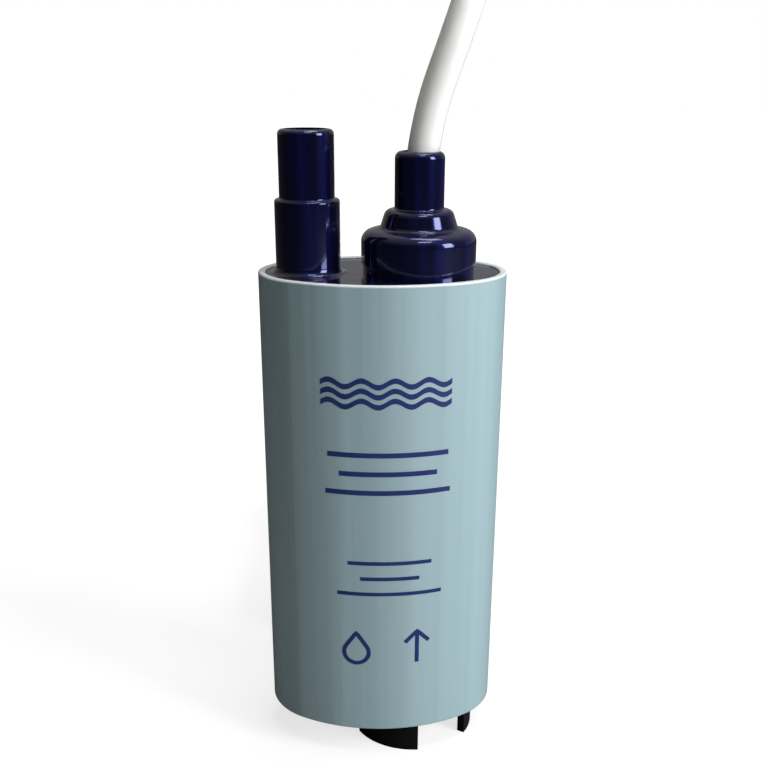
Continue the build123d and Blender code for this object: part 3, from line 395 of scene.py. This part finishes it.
def group_tree(name, sizes, counts):
    """A geometry tree with named inputs, returned with its inputs and its end."""
    tree = bpy.data.node_groups.new(name, "GeometryNodeTree")
    tree.interface.new_socket("Geometry", in_out="OUTPUT", socket_type="NodeSocketGeometry")
    for kind, values in (("NodeSocketFloat", sizes), ("NodeSocketInt", counts)):
        for input_name, value in values.items():
            socket = tree.interface.new_socket(input_name, in_out="INPUT", socket_type=kind)
            socket.default_value = value
    return tree, add_node(tree, "NodeGroupInput").outputs, add_node(tree, "NodeGroupOutput")


def sum_of(tree, operation, *values):
    """One step of arithmetic in a tree, on numbers or other nodes' outputs."""
    return add_node(tree, "ShaderNodeMath", dict(enumerate(values)), operation=operation).outputs[0]


def spot(tree, x=0.0, y=0.0, z=0.0):
    """A place, step or size from three numbers or other nodes' outputs."""
    return add_node(tree, "ShaderNodeCombineXYZ", {"X": x, "Y": y, "Z": z}).outputs[0]


def place_parts(tree):
    """The X, Y and Z of each point in a tree."""
    place = add_node(tree, "GeometryNodeInputPosition").outputs[0]
    return add_node(tree, "ShaderNodeSeparateXYZ", {0: place}).outputs


def bend_to_front(tree, geometry, radius, middle_y):
    """Lays flat geometry, drawn in X and Z, on the sleeve's round front."""
    flat = place_parts(tree)
    turn = sum_of(tree, "DIVIDE", flat["X"], radius)
    across = sum_of(tree, "MULTIPLY", sum_of(tree, "SINE", turn), radius)
    ahead = sum_of(tree, "MULTIPLY", sum_of(tree, "COSINE", turn), radius)
    bent = spot(tree, across, sum_of(tree, "SUBTRACT", middle_y, ahead), flat["Z"])
    return add_node(tree, "GeometryNodeSetPosition",
                    {"Geometry": geometry, "Position": bent}).outputs["Geometry"]


def painted(tree, geometry, finish, result):
    """Ends a tree with its finish on the geometry."""
    paint = add_node(tree, "GeometryNodeSetMaterial", {"Geometry": geometry, "Material": finish})
    tree.links.new(paint.outputs["Geometry"], result.inputs["Geometry"])


def inked(tree, geometry, result):
    """Ends a print's tree: real geometry on the sleeve's front, with the ink on it."""
    solid = add_node(tree, "GeometryNodeRealizeInstances", {"Geometry": geometry})
    painted(tree, bend_to_front(tree, solid.outputs["Geometry"], (front_radius + ink_lift) * mm,
                                front_middle_y * mm), ink_blue, result)


def grown(name, tree, sizes):
    """Runs a tree with these sizes and keeps the result as a plain mesh object."""
    seed = add_to_scene(name + "_seed", bpy.data.meshes.new(name + "_seed"))
    grow = seed.modifiers.new("grow", "NODES")
    grow.node_group = tree
    sockets = {item.name: item.identifier for item in tree.interface.items_tree
               if item.in_out == "INPUT"}
    for size_name, value in sizes.items():
        grow[sockets[size_name]] = value
    bpy.context.view_layer.update()
    ready = seed.evaluated_get(bpy.context.evaluated_depsgraph_get())
    mesh = bpy.data.meshes.new_from_object(ready)
    mesh.name = name
    seed.modifiers.remove(grow)
    bpy.data.objects.remove(seed)
    return add_to_scene(name, mesh)


def ink_film(piece):
    """Gives the flat print the thickness of its ink and puts it on the sleeve."""
    film = piece.modifiers.new("film", "SOLIDIFY")
    film.thickness = ink_thickness * mm
    film.offset = 1.0
    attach(piece, "pump")


def laid_grid(tree, width, height, steps):
    """A flat strip in X and Z with its face to the front, width long and height tall."""
    grid = add_node(tree, "GeometryNodeMeshGrid", {"Size X": width, "Size Y": height,
                                                   "Vertices X": steps, "Vertices Y": 3})
    return add_node(tree, "GeometryNodeTransform",
                    {"Geometry": grid.outputs["Mesh"],
                     "Rotation": (math.pi / 2, 0, 0)}).outputs["Geometry"]


def stacked(tree, geometry, sizes, scale=(1, 1, 1)):
    """Repeats one row downwards from the top."""
    ladder = add_node(tree, "GeometryNodeMeshLine", {
        "Count": sizes["Rows"], "Start Location": spot(tree, sizes["Middle"], 0.0, sizes["Top"]),
        "Offset": spot(tree, z=sum_of(tree, "MULTIPLY", sizes["Pitch"], -1.0))})
    return add_node(tree, "GeometryNodeInstanceOnPoints", {
        "Points": ladder.outputs["Mesh"], "Instance": geometry,
        "Scale": scale}).outputs["Instances"]


wave_tree, wave_sizes, wave_result = group_tree(
    "printed_waves", {"Width": 25.4 * mm, "Line": 1.05 * mm, "Wavelength": 6.35 * mm,
                      "Rise": 0.62 * mm, "Top": 83.3 * mm, "Pitch": 1.95 * mm,
                      "Middle": 0.4 * mm}, {"Rows": 3, "Steps": 97})
strip = laid_grid(wave_tree, wave_sizes["Width"], wave_sizes["Line"], wave_sizes["Steps"])
waves_along = sum_of(wave_tree, "DIVIDE", place_parts(wave_tree)["X"], wave_sizes["Wavelength"])
phase = sum_of(wave_tree, "MULTIPLY", waves_along, 2 * math.pi)
wave_height = sum_of(wave_tree, "MULTIPLY", sum_of(wave_tree, "SINE", phase), wave_sizes["Rise"])
waved = add_node(wave_tree, "GeometryNodeSetPosition",
                 {"Geometry": strip, "Offset": spot(wave_tree, z=wave_height)})
inked(wave_tree, stacked(wave_tree, waved.outputs["Geometry"], wave_sizes), wave_result)
ink_film(grown("printed_waves", wave_tree, {"Rows": 3}))

rule_tree, rule_sizes, rule_result = group_tree(
    "printed_rules", {"Width": 26.0 * mm, "Line": 1.0 * mm, "Top": 69.2 * mm, "Pitch": 3.85 * mm,
                      "Middle": 0.8 * mm, "Shortest": 0.7}, {"Rows": 3, "Seed": 4})
rule = laid_grid(rule_tree, rule_sizes["Width"], rule_sizes["Line"], steps=33)
chance = add_node(rule_tree, "FunctionNodeRandomValue",
                  {2: rule_sizes["Shortest"], 3: 1.0, "Seed": rule_sizes["Seed"]})
rule_scale = spot(rule_tree, chance.outputs[1], 1.0, 1.0)
inked(rule_tree, stacked(rule_tree, rule, rule_sizes, rule_scale), rule_result)
ink_film(grown("printed_rules_upper", rule_tree, {"Rows": 3}))
ink_film(grown("printed_rules_lower", rule_tree, {
    "Width": 21.5 * mm, "Line": 0.8 * mm, "Top": 46.4 * mm, "Pitch": 3.4 * mm,
    "Middle": 1.2 * mm, "Seed": 9, "Shortest": 0.55}))


def pen_stroke(shape, points, line, closed=False):
    """Adds one flat stroke of even width along points on the front, in X and Z."""
    count = len(points)
    edges = []
    for index, (x, z) in enumerate(points):
        ahead = points[(index + 1) % count if closed else min(index + 1, count - 1)]
        behind = points[(index - 1) % count if closed else max(index - 1, 0)]
        run = Vector((ahead[0] - behind[0], ahead[1] - behind[1])).normalized()
        edges.append([shape.verts.new((x + side * run.y * line / 2, 0, z - side * run.x * line / 2))
                      for side in (-1, 1)])
    for index in range(count if closed else count - 1):
        left, right = edges[index], edges[(index + 1) % count]
        shape.faces.new((left[0], left[1], right[1], right[0]))


def straight(start, end, steps=8):
    """Points along a line on the front."""
    return [(start[0] + (end[0] - start[0]) * step / steps,
             start[1] + (end[1] - start[1]) * step / steps) for step in range(steps + 1)]


sign_line = 0.85
arrow_x, arrow_z = 6.9, 27.2
arrow_below, arrow_above = 3.6, 3.7
head_width, head_height = 2.5, 2.5
drop_x, drop_z = -5.6, 26.2
drop_radius = 2.55
drop_tip = 4.5
drop_steps = 40
signs = bmesh.new()
arrow_tip = (arrow_x, arrow_z + arrow_above)
head_left, head_right = [(arrow_x + side * head_width, arrow_tip[1] - head_height)
                         for side in (-1, 1)]
pen_stroke(signs, straight((arrow_x, arrow_z - arrow_below),
                           (arrow_x, arrow_tip[1] - sign_line / 2)), sign_line)
pen_stroke(signs, straight(head_left, arrow_tip) + straight(arrow_tip, head_right)[1:], sign_line)
drop_from = math.acos(drop_radius / drop_tip)
drop_turns = [math.pi / 2 - drop_from - step * (2 * math.pi - 2 * drop_from) / drop_steps
              for step in range(drop_steps + 1)]
drop_points = [(drop_x + drop_radius * math.cos(turn), drop_z + drop_radius * math.sin(turn))
               for turn in drop_turns]
drop_top = (drop_x, drop_z + drop_tip)
pen_stroke(signs, [*drop_points[:-1], *straight(drop_points[-1], drop_top),
                   *straight(drop_top, drop_points[0])[1:-1]], sign_line, closed=True)
for point in signs.verts:
    turn = point.co.x / front_radius
    point.co = Vector(((front_radius + ink_lift) * math.sin(turn),
                       front_middle_y - (front_radius + ink_lift) * math.cos(turn),
                       point.co.z)) * mm
bmesh.ops.recalc_face_normals(signs, faces=signs.faces)
signs_mesh = bpy.data.meshes.new("printed_signs")
signs.to_mesh(signs_mesh)
signs.free()
signs_mesh.materials.append(ink_blue)
ink_film(add_to_scene("printed_signs", signs_mesh))

# Top cover and gland cap: injection-moulded in glossy navy plastic, the cover with its hose
# tail in one piece, the cap pushed over a spigot. The plastic's flow left faint upright streaks.
navy_gloss = new_finish("navy_plastic", (0.003, 0.003, 0.026), 0.13, {
    "Specular IOR Level": 0.55, "Specular Tint": (0.30, 0.38, 1.0, 1),
    "Coat Weight": 0.3, "Coat Roughness": 0.03})
navy_streaks = between(navy_gloss, grain(navy_gloss, 420.0, detail=3.0, stretch=(1, 1, 0.03)),
                       from_low=0.42, from_high=0.68)
two_tones(navy_gloss, navy_streaks, (0.0022, 0.0022, 0.014), (0.0045, 0.0045, 0.048))
relief(navy_gloss, grain(navy_gloss, 260.0, detail=2.0, stretch=(1, 1, 0.3)), 0.06 * mm)
dress(navy_gloss, "top_cover", "gland_cap")

# Gland packing: a turned nylon washer, the rubber seal that the cap presses round the cable,
# and a steel ring crimped on the sheath below the cover.
nylon_white = new_finish("white_nylon", (0.72, 0.72, 0.68), 0.4, {
    "Subsurface Weight": 0.2, "Subsurface Radius": (1.0, 1.0, 0.9), "Subsurface Scale": 1.5 * mm})
two_tones(nylon_white, grain(nylon_white, 120.0), (0.74, 0.74, 0.70), (0.66, 0.65, 0.60))
relief(nylon_white, grain(nylon_white, 900.0), 0.03 * mm)
rubber_black = new_finish("black_rubber", (0.016, 0.016, 0.017), 0.62)
two_tones(rubber_black, grain(rubber_black, 260.0), (0.012, 0.012, 0.013), (0.032, 0.032, 0.033))
relief(rubber_black, grain(rubber_black, 2200.0, detail=3.0), 0.04 * mm)
steel_plain = new_finish("plain_steel", (0.58, 0.59, 0.60), 0.3, {"Metallic": 1.0})
two_tones(steel_plain, grain(steel_plain, 350.0), (0.62, 0.63, 0.64), (0.48, 0.49, 0.51))
uneven_gloss(steel_plain, grain(steel_plain, 800.0), 0.22, 0.42)
relief(steel_plain, grain(steel_plain, 1800.0, detail=2.0, stretch=(0.2, 0.2, 3)), 0.02 * mm)
dress(nylon_white, "gland_washer")
dress(rubber_black, "cable_seal")
dress(steel_plain, "cable_crimp_ring")

# Sealing rings and riser duct: two oval rings of rubber cord seal the sleeve's ends, and two
# small rings seal the plastic duct that carries the water past the motor.
inner_black = new_finish("inner_black_plastic", (0.016, 0.016, 0.017), 0.48)
two_tones(inner_black, grain(inner_black, 70.0), (0.013, 0.013, 0.014), (0.024, 0.024, 0.025))
relief(inner_black, grain(inner_black, 900.0, detail=3.0), 0.03 * mm)
dress(rubber_black, "cover_seal_ring", "body_seal_ring", "duct_seals")
dress(inner_black, "riser_duct", "pump_body", "motor_spider")

# Shaft seal: a rubber cup with its lip on the shaft, drawn tight by a ring of coiled spring.
# The spring's turns are lines across its wire.
spring_pitch = 0.25 * mm


def ribs(finish, period, axis="Z"):
    """A pattern of even lines along one axis, such as laminations, turns or a thread."""
    texture_rate = 20
    tree = finish.node_tree
    place = add_node(tree, "ShaderNodeTexCoord").outputs["Object"]
    return add_node(tree, "ShaderNodeTexWave",
                    {"Vector": place, "Scale": 2 * math.pi / (texture_rate * period)},
                    wave_type="BANDS", bands_direction=axis).outputs["Fac"]


spring_steel = new_finish("spring_steel", (0.50, 0.50, 0.52), 0.25, {"Metallic": 1.0})
spring_turns = ribs(spring_steel, spring_pitch, "X")
two_tones(spring_steel, spring_turns, (0.16, 0.16, 0.17), (0.60, 0.60, 0.62))
relief(spring_steel, spring_turns, 0.12 * mm)
dress(rubber_black, "shaft_seal")
dress(spring_steel, "seal_garter_spring")

# Foot plate, strainer and vent cage: black moulded plastic, satin from the mould, with the
# plate held by four small steel screws. A loose nylon ball closes the vent.
thread_pitch = 0.6 * mm
foot_black = new_finish("black_plastic", (0.006, 0.006, 0.007), 0.42, {"Specular IOR Level": 0.10})
two_tones(foot_black, grain(foot_black, 90.0), (0.004, 0.004, 0.005), (0.010, 0.010, 0.011))
relief(foot_black, grain(foot_black, 1100.0, detail=3.0), 0.03 * mm)
screw_steel = new_finish("screw_steel", (0.60, 0.60, 0.60), 0.28, {"Metallic": 1.0})
screw_thread = ribs(screw_steel, thread_pitch)
two_tones(screw_steel, screw_thread, (0.66, 0.66, 0.66), (0.42, 0.42, 0.43))
relief(screw_steel, screw_thread, 0.12 * mm)
dress(foot_black, "foot_plate", "inlet_strainer", "vent_cage")
dress(screw_steel, "foot_plate_screws", "motor_screws")
dress(nylon_white, "vent_ball", "impeller")

# Motor shell: a drawn and zinc-plated steel cup with two ferrite magnets stuck inside, closed
# by a pale plastic cap. Sintered bronze bushes in the cup and the cap carry the shaft.
can_zinc = new_finish("zinc_plated_can", (0.56, 0.57, 0.58), 0.33, {"Metallic": 1.0})
two_tones(can_zinc, grain(can_zinc, 140.0, detail=4.0, stretch=(1, 1, 0.08)),
          (0.50, 0.51, 0.53), (0.64, 0.65, 0.65))
uneven_gloss(can_zinc, grain(can_zinc, 500.0, detail=3.0, stretch=(1, 1, 0.05)), 0.24, 0.44)
relief(can_zinc, grain(can_zinc, 900.0, detail=2.0, stretch=(1, 1, 0.04)), 0.02 * mm)
ferrite_grey = new_finish("ferrite", (0.045, 0.045, 0.05), 0.7)
two_tones(ferrite_grey, grain(ferrite_grey, 400.0), (0.035, 0.035, 0.04), (0.07, 0.07, 0.075))
relief(ferrite_grey, grain(ferrite_grey, 1500.0, detail=4.0), 0.06 * mm)
bronze = new_finish("sintered_bronze", (0.42, 0.24, 0.10), 0.45, {"Metallic": 1.0})
two_tones(bronze, grain(bronze, 1500.0), (0.46, 0.27, 0.12), (0.26, 0.14, 0.06))
relief(bronze, grain(bronze, 3000.0, detail=3.0), 0.05 * mm)
dress(can_zinc, "motor_can")
dress(nylon_white, "motor_end_cap")
dress(ferrite_grey, "motor_magnets")
dress(bronze, "front_bearing", "rear_bearing")

# Rotor: a ground steel shaft with a stack of stamped laminations, a plastic hub with three
# copper segments, and nylon spacers.
lamination = 0.5 * mm
laminated = new_finish("laminated_steel", (0.36, 0.36, 0.38), 0.38, {"Metallic": 1.0})
sheet_edges = ribs(laminated, lamination)
two_tones(laminated, sheet_edges, (0.16, 0.16, 0.17), (0.46, 0.46, 0.48))
relief(laminated, sheet_edges, 0.08 * mm)
copper = new_finish("copper", (0.80, 0.36, 0.18), 0.28, {"Metallic": 1.0})
two_tones(copper, grain(copper, 500.0, detail=3.0, stretch=(1, 1, 4)),
          (0.84, 0.40, 0.21), (0.62, 0.25, 0.12))
relief(copper, grain(copper, 1600.0, detail=2.0, stretch=(0.3, 0.3, 4)), 0.03 * mm)
dress(steel_plain, "motor_shaft")
dress(laminated, "armature_core")
dress(inner_black, "commutator_hub")
dress(copper, "commutator_segments")
dress(nylon_white, "shaft_spacers")

# Armature windings: lacquered copper wire, laid turn beside turn in layers round each of the
# three pole necks, and looped over the core at both ends.
winding_wire = 0.17 * mm
lacquered = new_finish("lacquered_wire", (0.62, 0.19, 0.07), 0.22,
                       {"Metallic": 0.85, "Coat Weight": 0.6})
two_tones(lacquered, grain(lacquered, 700.0), (0.70, 0.24, 0.09), (0.46, 0.12, 0.04))
coil_tree, coil_sizes, coil_result = group_tree(
    "wound_poles", {"Wire": winding_wire, "Pitch": 0.355 * mm, "Inner": 2.8 * mm,
                    "Reach": 6.34 * mm, "Widest": 4.0 * mm, "Tallest": 9.0 * mm,
                    "Neck": 1.98 * mm, "Corner": 0.9 * mm, "Middle X": 0.0, "Middle Z": 0.0},
    {"Turns": 10, "Layers": 4, "Poles": 3})
all_turns = sum_of(coil_tree, "MULTIPLY", coil_sizes["Turns"], coil_sizes["Layers"])
turn_points = add_node(coil_tree, "GeometryNodeMeshLine", {"Count": all_turns})
turn_number = add_node(coil_tree, "GeometryNodeInputIndex").outputs[0]
beside = sum_of(coil_tree, "MODULO", turn_number, coil_sizes["Turns"])
turn_middle = sum_of(coil_tree, "ADD", turn_number, 0.5)
layer = sum_of(coil_tree, "FLOOR", sum_of(coil_tree, "DIVIDE", turn_middle, coil_sizes["Turns"]))
away = sum_of(coil_tree, "ADD", coil_sizes["Inner"],
              sum_of(coil_tree, "MULTIPLY", beside, coil_sizes["Pitch"]))
reach_squared = sum_of(coil_tree, "MULTIPLY", coil_sizes["Reach"], coil_sizes["Reach"])
away_squared = sum_of(coil_tree, "MULTIPLY", away, away)
round_room = sum_of(coil_tree, "SQRT", sum_of(coil_tree, "SUBTRACT", reach_squared, away_squared))
layer_step = sum_of(coil_tree, "MULTIPLY", layer,
                    sum_of(coil_tree, "MULTIPLY", coil_sizes["Wire"], 2.0))
half_wide = sum_of(coil_tree, "SUBTRACT",
                   sum_of(coil_tree, "MINIMUM", coil_sizes["Widest"], round_room), layer_step)
half_tall = sum_of(coil_tree, "SUBTRACT", coil_sizes["Tallest"], layer_step)
placed_turns = add_node(coil_tree, "GeometryNodeSetPosition", {
    "Geometry": turn_points.outputs["Mesh"], "Position": spot(coil_tree, away)})
kept_size = add_node(coil_tree, "GeometryNodeStoreNamedAttribute", {
    "Geometry": placed_turns.outputs["Geometry"], "Name": "turn_size",
    "Value": spot(coil_tree, 1.0, half_wide, half_tall)}, data_type="FLOAT_VECTOR")
no_room = add_node(coil_tree, "GeometryNodeDeleteGeometry", {
    "Geometry": kept_size.outputs["Geometry"],
    "Selection": sum_of(coil_tree, "LESS_THAN", half_wide, coil_sizes["Neck"])})
turn_shape = add_node(coil_tree, "GeometryNodeCurvePrimitiveQuadrilateral",
                      {"Width": 2.0, "Height": 2.0})
turn_upright = add_node(coil_tree, "GeometryNodeTransform", {
    "Geometry": turn_shape.outputs["Curve"], "Rotation": (math.pi / 2, 0, math.pi / 2)})
read_size = add_node(coil_tree, "GeometryNodeInputNamedAttribute", {"Name": "turn_size"},
                     data_type="FLOAT_VECTOR")
laid_turns = add_node(coil_tree, "GeometryNodeInstanceOnPoints", {
    "Points": no_room.outputs["Geometry"], "Instance": turn_upright.outputs["Geometry"],
    "Scale": read_size.outputs["Attribute"]})
real_turns = add_node(coil_tree, "GeometryNodeRealizeInstances",
                      {"Geometry": laid_turns.outputs["Instances"]})
soft_corners = add_node(coil_tree, "GeometryNodeFilletCurve", {
    "Curve": real_turns.outputs["Geometry"], "Radius": coil_sizes["Corner"], "Count": 3,
    "Limit Radius": True}, mode="POLY")


def drawn_wire(tree, curve, radius, sides, caps):
    """Gives a curve in a tree the round section of a wire."""
    section = add_node(tree, "GeometryNodeCurvePrimitiveCircle",
                       {"Resolution": sides, "Radius": radius})
    return add_node(tree, "GeometryNodeCurveToMesh", {
        "Curve": curve, "Profile Curve": section.outputs["Curve"],
        "Fill Caps": caps}).outputs["Mesh"]


def made_real(tree, geometry, finish, result):
    """Ends a tree: real geometry, smooth, in its finish."""
    solid = add_node(tree, "GeometryNodeRealizeInstances", {"Geometry": geometry})
    smooth = add_node(tree, "GeometryNodeSetShadeSmooth", {"Geometry": solid.outputs["Geometry"]})
    painted(tree, smooth.outputs["Geometry"], finish, result)


one_coil = drawn_wire(coil_tree, soft_corners.outputs["Curve"], coil_sizes["Wire"],
                      sides=6, caps=False)
pole_points = add_node(coil_tree, "GeometryNodeMeshLine", {
    "Count": coil_sizes["Poles"], "Offset": (0, 0, 0),
    "Start Location": spot(coil_tree, coil_sizes["Middle X"], 0.0, coil_sizes["Middle Z"])})
pole_number = add_node(coil_tree, "GeometryNodeInputIndex").outputs[0]
pole_turn = sum_of(coil_tree, "DIVIDE", sum_of(coil_tree, "MULTIPLY", pole_number, 2 * math.pi),
                   coil_sizes["Poles"])
three_coils = add_node(coil_tree, "GeometryNodeInstanceOnPoints", {
    "Points": pole_points.outputs["Mesh"], "Instance": one_coil,
    "Rotation": spot(coil_tree, z=pole_turn)})
made_real(coil_tree, three_coils.outputs["Instances"], lacquered, coil_result)
coil_low, coil_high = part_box("armature_windings")
wound_poles = grown("wound_poles", coil_tree, {
    "Middle X": gland_x * mm, "Middle Z": (coil_low[2] + coil_high[2]) / 2,
    "Tallest": (coil_high[2] - coil_low[2]) / 2 - winding_wire})
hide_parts("armature_windings")
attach(wound_poles, "rotor")

# Brush gear: two blocks of pressed carbon on springy bronze arms, each arm on its own brass
# terminal that reaches up through the end cap.
carbon_black = new_finish("pressed_carbon", (0.028, 0.028, 0.03), 0.55)
two_tones(carbon_black, grain(carbon_black, 900.0), (0.022, 0.022, 0.024), (0.05, 0.05, 0.053))
relief(carbon_black, grain(carbon_black, 2600.0, detail=4.0), 0.05 * mm)
arm_bronze = new_finish("spring_bronze", (0.62, 0.36, 0.16), 0.27, {"Metallic": 1.0})
two_tones(arm_bronze, grain(arm_bronze, 260.0), (0.68, 0.41, 0.19), (0.50, 0.27, 0.11))
relief(arm_bronze, grain(arm_bronze, 1500.0, detail=2.0, stretch=(1, 0.2, 1)), 0.02 * mm)
brass = new_finish("brass", (0.76, 0.55, 0.20), 0.25, {"Metallic": 1.0})
two_tones(brass, grain(brass, 260.0), (0.80, 0.60, 0.24), (0.62, 0.42, 0.14))
relief(brass, grain(brass, 1300.0, detail=2.0, stretch=(1, 1, 0.2)), 0.02 * mm)
dress(carbon_black, "carbon_brushes")
dress(arm_bronze, "brush_arms")
dress(brass, "motor_terminals")

# Suppressor: a round circuit board with one capacitor dipped in brown-red resin and two chokes
# of thick lacquered wire on ferrite rods, against radio noise.
track_pitch = 2.4 * mm
choke_wire = 0.46 * mm
choke_seat = 0.47 * mm
board_green = new_finish("board_green", (0.02, 0.12, 0.045), 0.35, {"Coat Weight": 0.4})
tracks = between(board_green, ribs(board_green, track_pitch, "X"), from_low=0.45, from_high=0.55)
two_tones(board_green, tracks, (0.018, 0.105, 0.042), (0.026, 0.14, 0.052))
relief(board_green, tracks, 0.04 * mm)
case_red = new_finish("capacitor_case", (0.30, 0.045, 0.025), 0.22)
two_tones(case_red, grain(case_red, 200.0), (0.33, 0.055, 0.03), (0.24, 0.03, 0.02))
relief(case_red, grain(case_red, 260.0, detail=2.0), 0.1 * mm)
dress(board_green, "suppressor_board")
dress(case_red, "suppressor_capacitor")
dress(ferrite_grey, "choke_cores")
choke_tree, choke_sizes, choke_result = group_tree(
    "wound_chokes", {"Wire": choke_wire, "Radius": 2.1 * mm, "Height": 8.06 * mm,
                     "Spread": 7.6 * mm, "Middle X": 0.0, "Low Z": 0.0, "Turns": 8.0}, {})
spiral = add_node(choke_tree, "GeometryNodeCurveSpiral", {
    "Resolution": 24, "Rotations": choke_sizes["Turns"], "Start Radius": choke_sizes["Radius"],
    "End Radius": choke_sizes["Radius"], "Height": choke_sizes["Height"]})
one_choke = drawn_wire(choke_tree, spiral.outputs["Curve"], choke_sizes["Wire"], sides=8, caps=True)
first_rod_x = sum_of(choke_tree, "SUBTRACT", choke_sizes["Middle X"], choke_sizes["Spread"])
rod_step = sum_of(choke_tree, "MULTIPLY", choke_sizes["Spread"], 2.0)
rod_line = add_node(choke_tree, "GeometryNodeMeshLine", {
    "Count": 2, "Start Location": spot(choke_tree, first_rod_x, 0.0, choke_sizes["Low Z"]),
    "Offset": spot(choke_tree, rod_step)})
two_chokes = add_node(choke_tree, "GeometryNodeInstanceOnPoints", {
    "Points": rod_line.outputs["Mesh"], "Instance": one_choke})
made_real(choke_tree, two_chokes.outputs["Instances"], lacquered, choke_result)
choke_low, choke_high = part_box("choke_coils")
wound_chokes = grown("wound_chokes", choke_tree, {"Middle X": gland_x * mm,
                                                  "Low Z": choke_low[2] + choke_seat})
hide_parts("choke_coils")
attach(wound_chokes, "pump")

# Floor: a pale matt sheet that catches the shadow and looks white to the camera further out.
# Gloss mirrors it darker than it is lit, so that the navy plastic stays dark down to its foot.
floor_size = 3.0
floor_tone = (0.40, 0.40, 0.40)
floor_mirrored_tone = (0.14, 0.14, 0.14)
floor_mesh = bpy.data.meshes.new("floor")
floor_mesh.from_pydata([(-floor_size, -floor_size, 0), (floor_size, -floor_size, 0),
                        (floor_size, floor_size, 0), (-floor_size, floor_size, 0)],
                       [], [(0, 1, 2, 3)])
floor = add_to_scene("floor", floor_mesh)
floor_white = new_finish("floor_white", floor_tone, 0.9, {"Specular IOR Level": 0.1})
floor_tree = floor_white.node_tree
floor_rays = add_node(floor_tree, "ShaderNodeLightPath").outputs
two_tones(floor_white, floor_rays["Is Glossy Ray"], floor_tone, floor_mirrored_tone)
floor_place = add_node(floor_tree, "ShaderNodeTexCoord").outputs["Object"]
floor_reach = add_node(floor_tree, "ShaderNodeVectorMath", {0: floor_place}, operation="LENGTH")
floor_whiteness = between(floor_white, floor_reach.outputs["Value"], low=0.74,
                          from_low=0.10, from_high=0.40)
floor_lift = add_node(floor_tree, "ShaderNodeEmission", {
    "Strength": sum_of(floor_tree, "MULTIPLY", floor_rays["Is Camera Ray"], floor_whiteness)})
floor_sum = add_node(floor_tree, "ShaderNodeAddShader", {
    0: floor_tree.nodes["Principled BSDF"].outputs["BSDF"], 1: floor_lift.outputs["Emission"]})
floor_tree.links.new(floor_sum.outputs[0], floor_tree.nodes["Material Output"].inputs["Surface"])
floor_mesh.materials.append(floor_white)

# Studio: white to the camera and through clear things. It lights the pump softly from the
# right, its dim left side is warm, and gloss mirrors a room that is brighter behind and above.
warm_tone = (1.0, 0.80, 0.52)
neutral_tone = (1.0, 1.0, 1.0)
pump_middle = Vector((0, 0, 0.06))
world = bpy.data.worlds.new("studio")
bpy.context.scene.world = world
world.use_nodes = True
world_tree = world.node_tree
world_rays = add_node(world_tree, "ShaderNodeLightPath").outputs
sees_white = sum_of(world_tree, "MAXIMUM", world_rays["Is Camera Ray"],
                    world_rays["Is Transmission Ray"])
looking = add_node(world_tree, "ShaderNodeTexCoord").outputs["Generated"]
heading = add_node(world_tree, "ShaderNodeSeparateXYZ", {"Vector": looking}).outputs
from_right = between(world, heading["X"], low=0.03, high=0.62, from_low=-0.1)
from_behind = between(world, heading["Y"], low=0.06, high=0.26, from_low=-0.2, from_high=0.7)
from_above = between(world, heading["Z"], high=0.6, from_low=0.45, from_high=0.95)
room = add_node(world_tree, "ShaderNodeMix", {
    "Factor": world_rays["Is Glossy Ray"], "A": from_right,
    "B": sum_of(world_tree, "ADD", from_behind, from_above)})
brightness = add_node(world_tree, "ShaderNodeMix", {
    "Factor": sees_white, "A": room.outputs["Result"], "B": 1.0})
off_left = between(world, heading["X"], from_low=-0.9, from_high=0.1)
neutral_share = sum_of(world_tree, "MAXIMUM", off_left, sees_white)
backdrop = world_tree.nodes["Background"].inputs
world_tree.links.new(brightness.outputs["Result"], backdrop["Strength"])
world_tree.links.new(mixed(world, neutral_share, warm_tone, neutral_tone), backdrop["Color"])


def softbox(name, place, width, height, power):
    """A rectangular soft lamp that faces the middle of the pump."""
    lamp_data = bpy.data.lights.new(name, "AREA")
    lamp_data.shape = "RECTANGLE"
    lamp_data.size = width
    lamp_data.size_y = height
    lamp_data.energy = power
    lamp = add_to_scene(name, lamp_data)
    lamp.location = place
    lamp.rotation_euler = (pump_middle - Vector(place)).to_track_quat("-Z", "Y").to_euler()


softbox("key_right", (0.60, -0.36, 0.34), 0.26, 0.40, 5.35)
softbox("front_high", (0.10, -0.30, 0.75), 0.24, 0.10, 1.0)
softbox("top", (0.10, 0.10, 0.70), 0.30, 0.20, 1.4)

bpy.context.scene.view_settings.view_transform = "Standard"
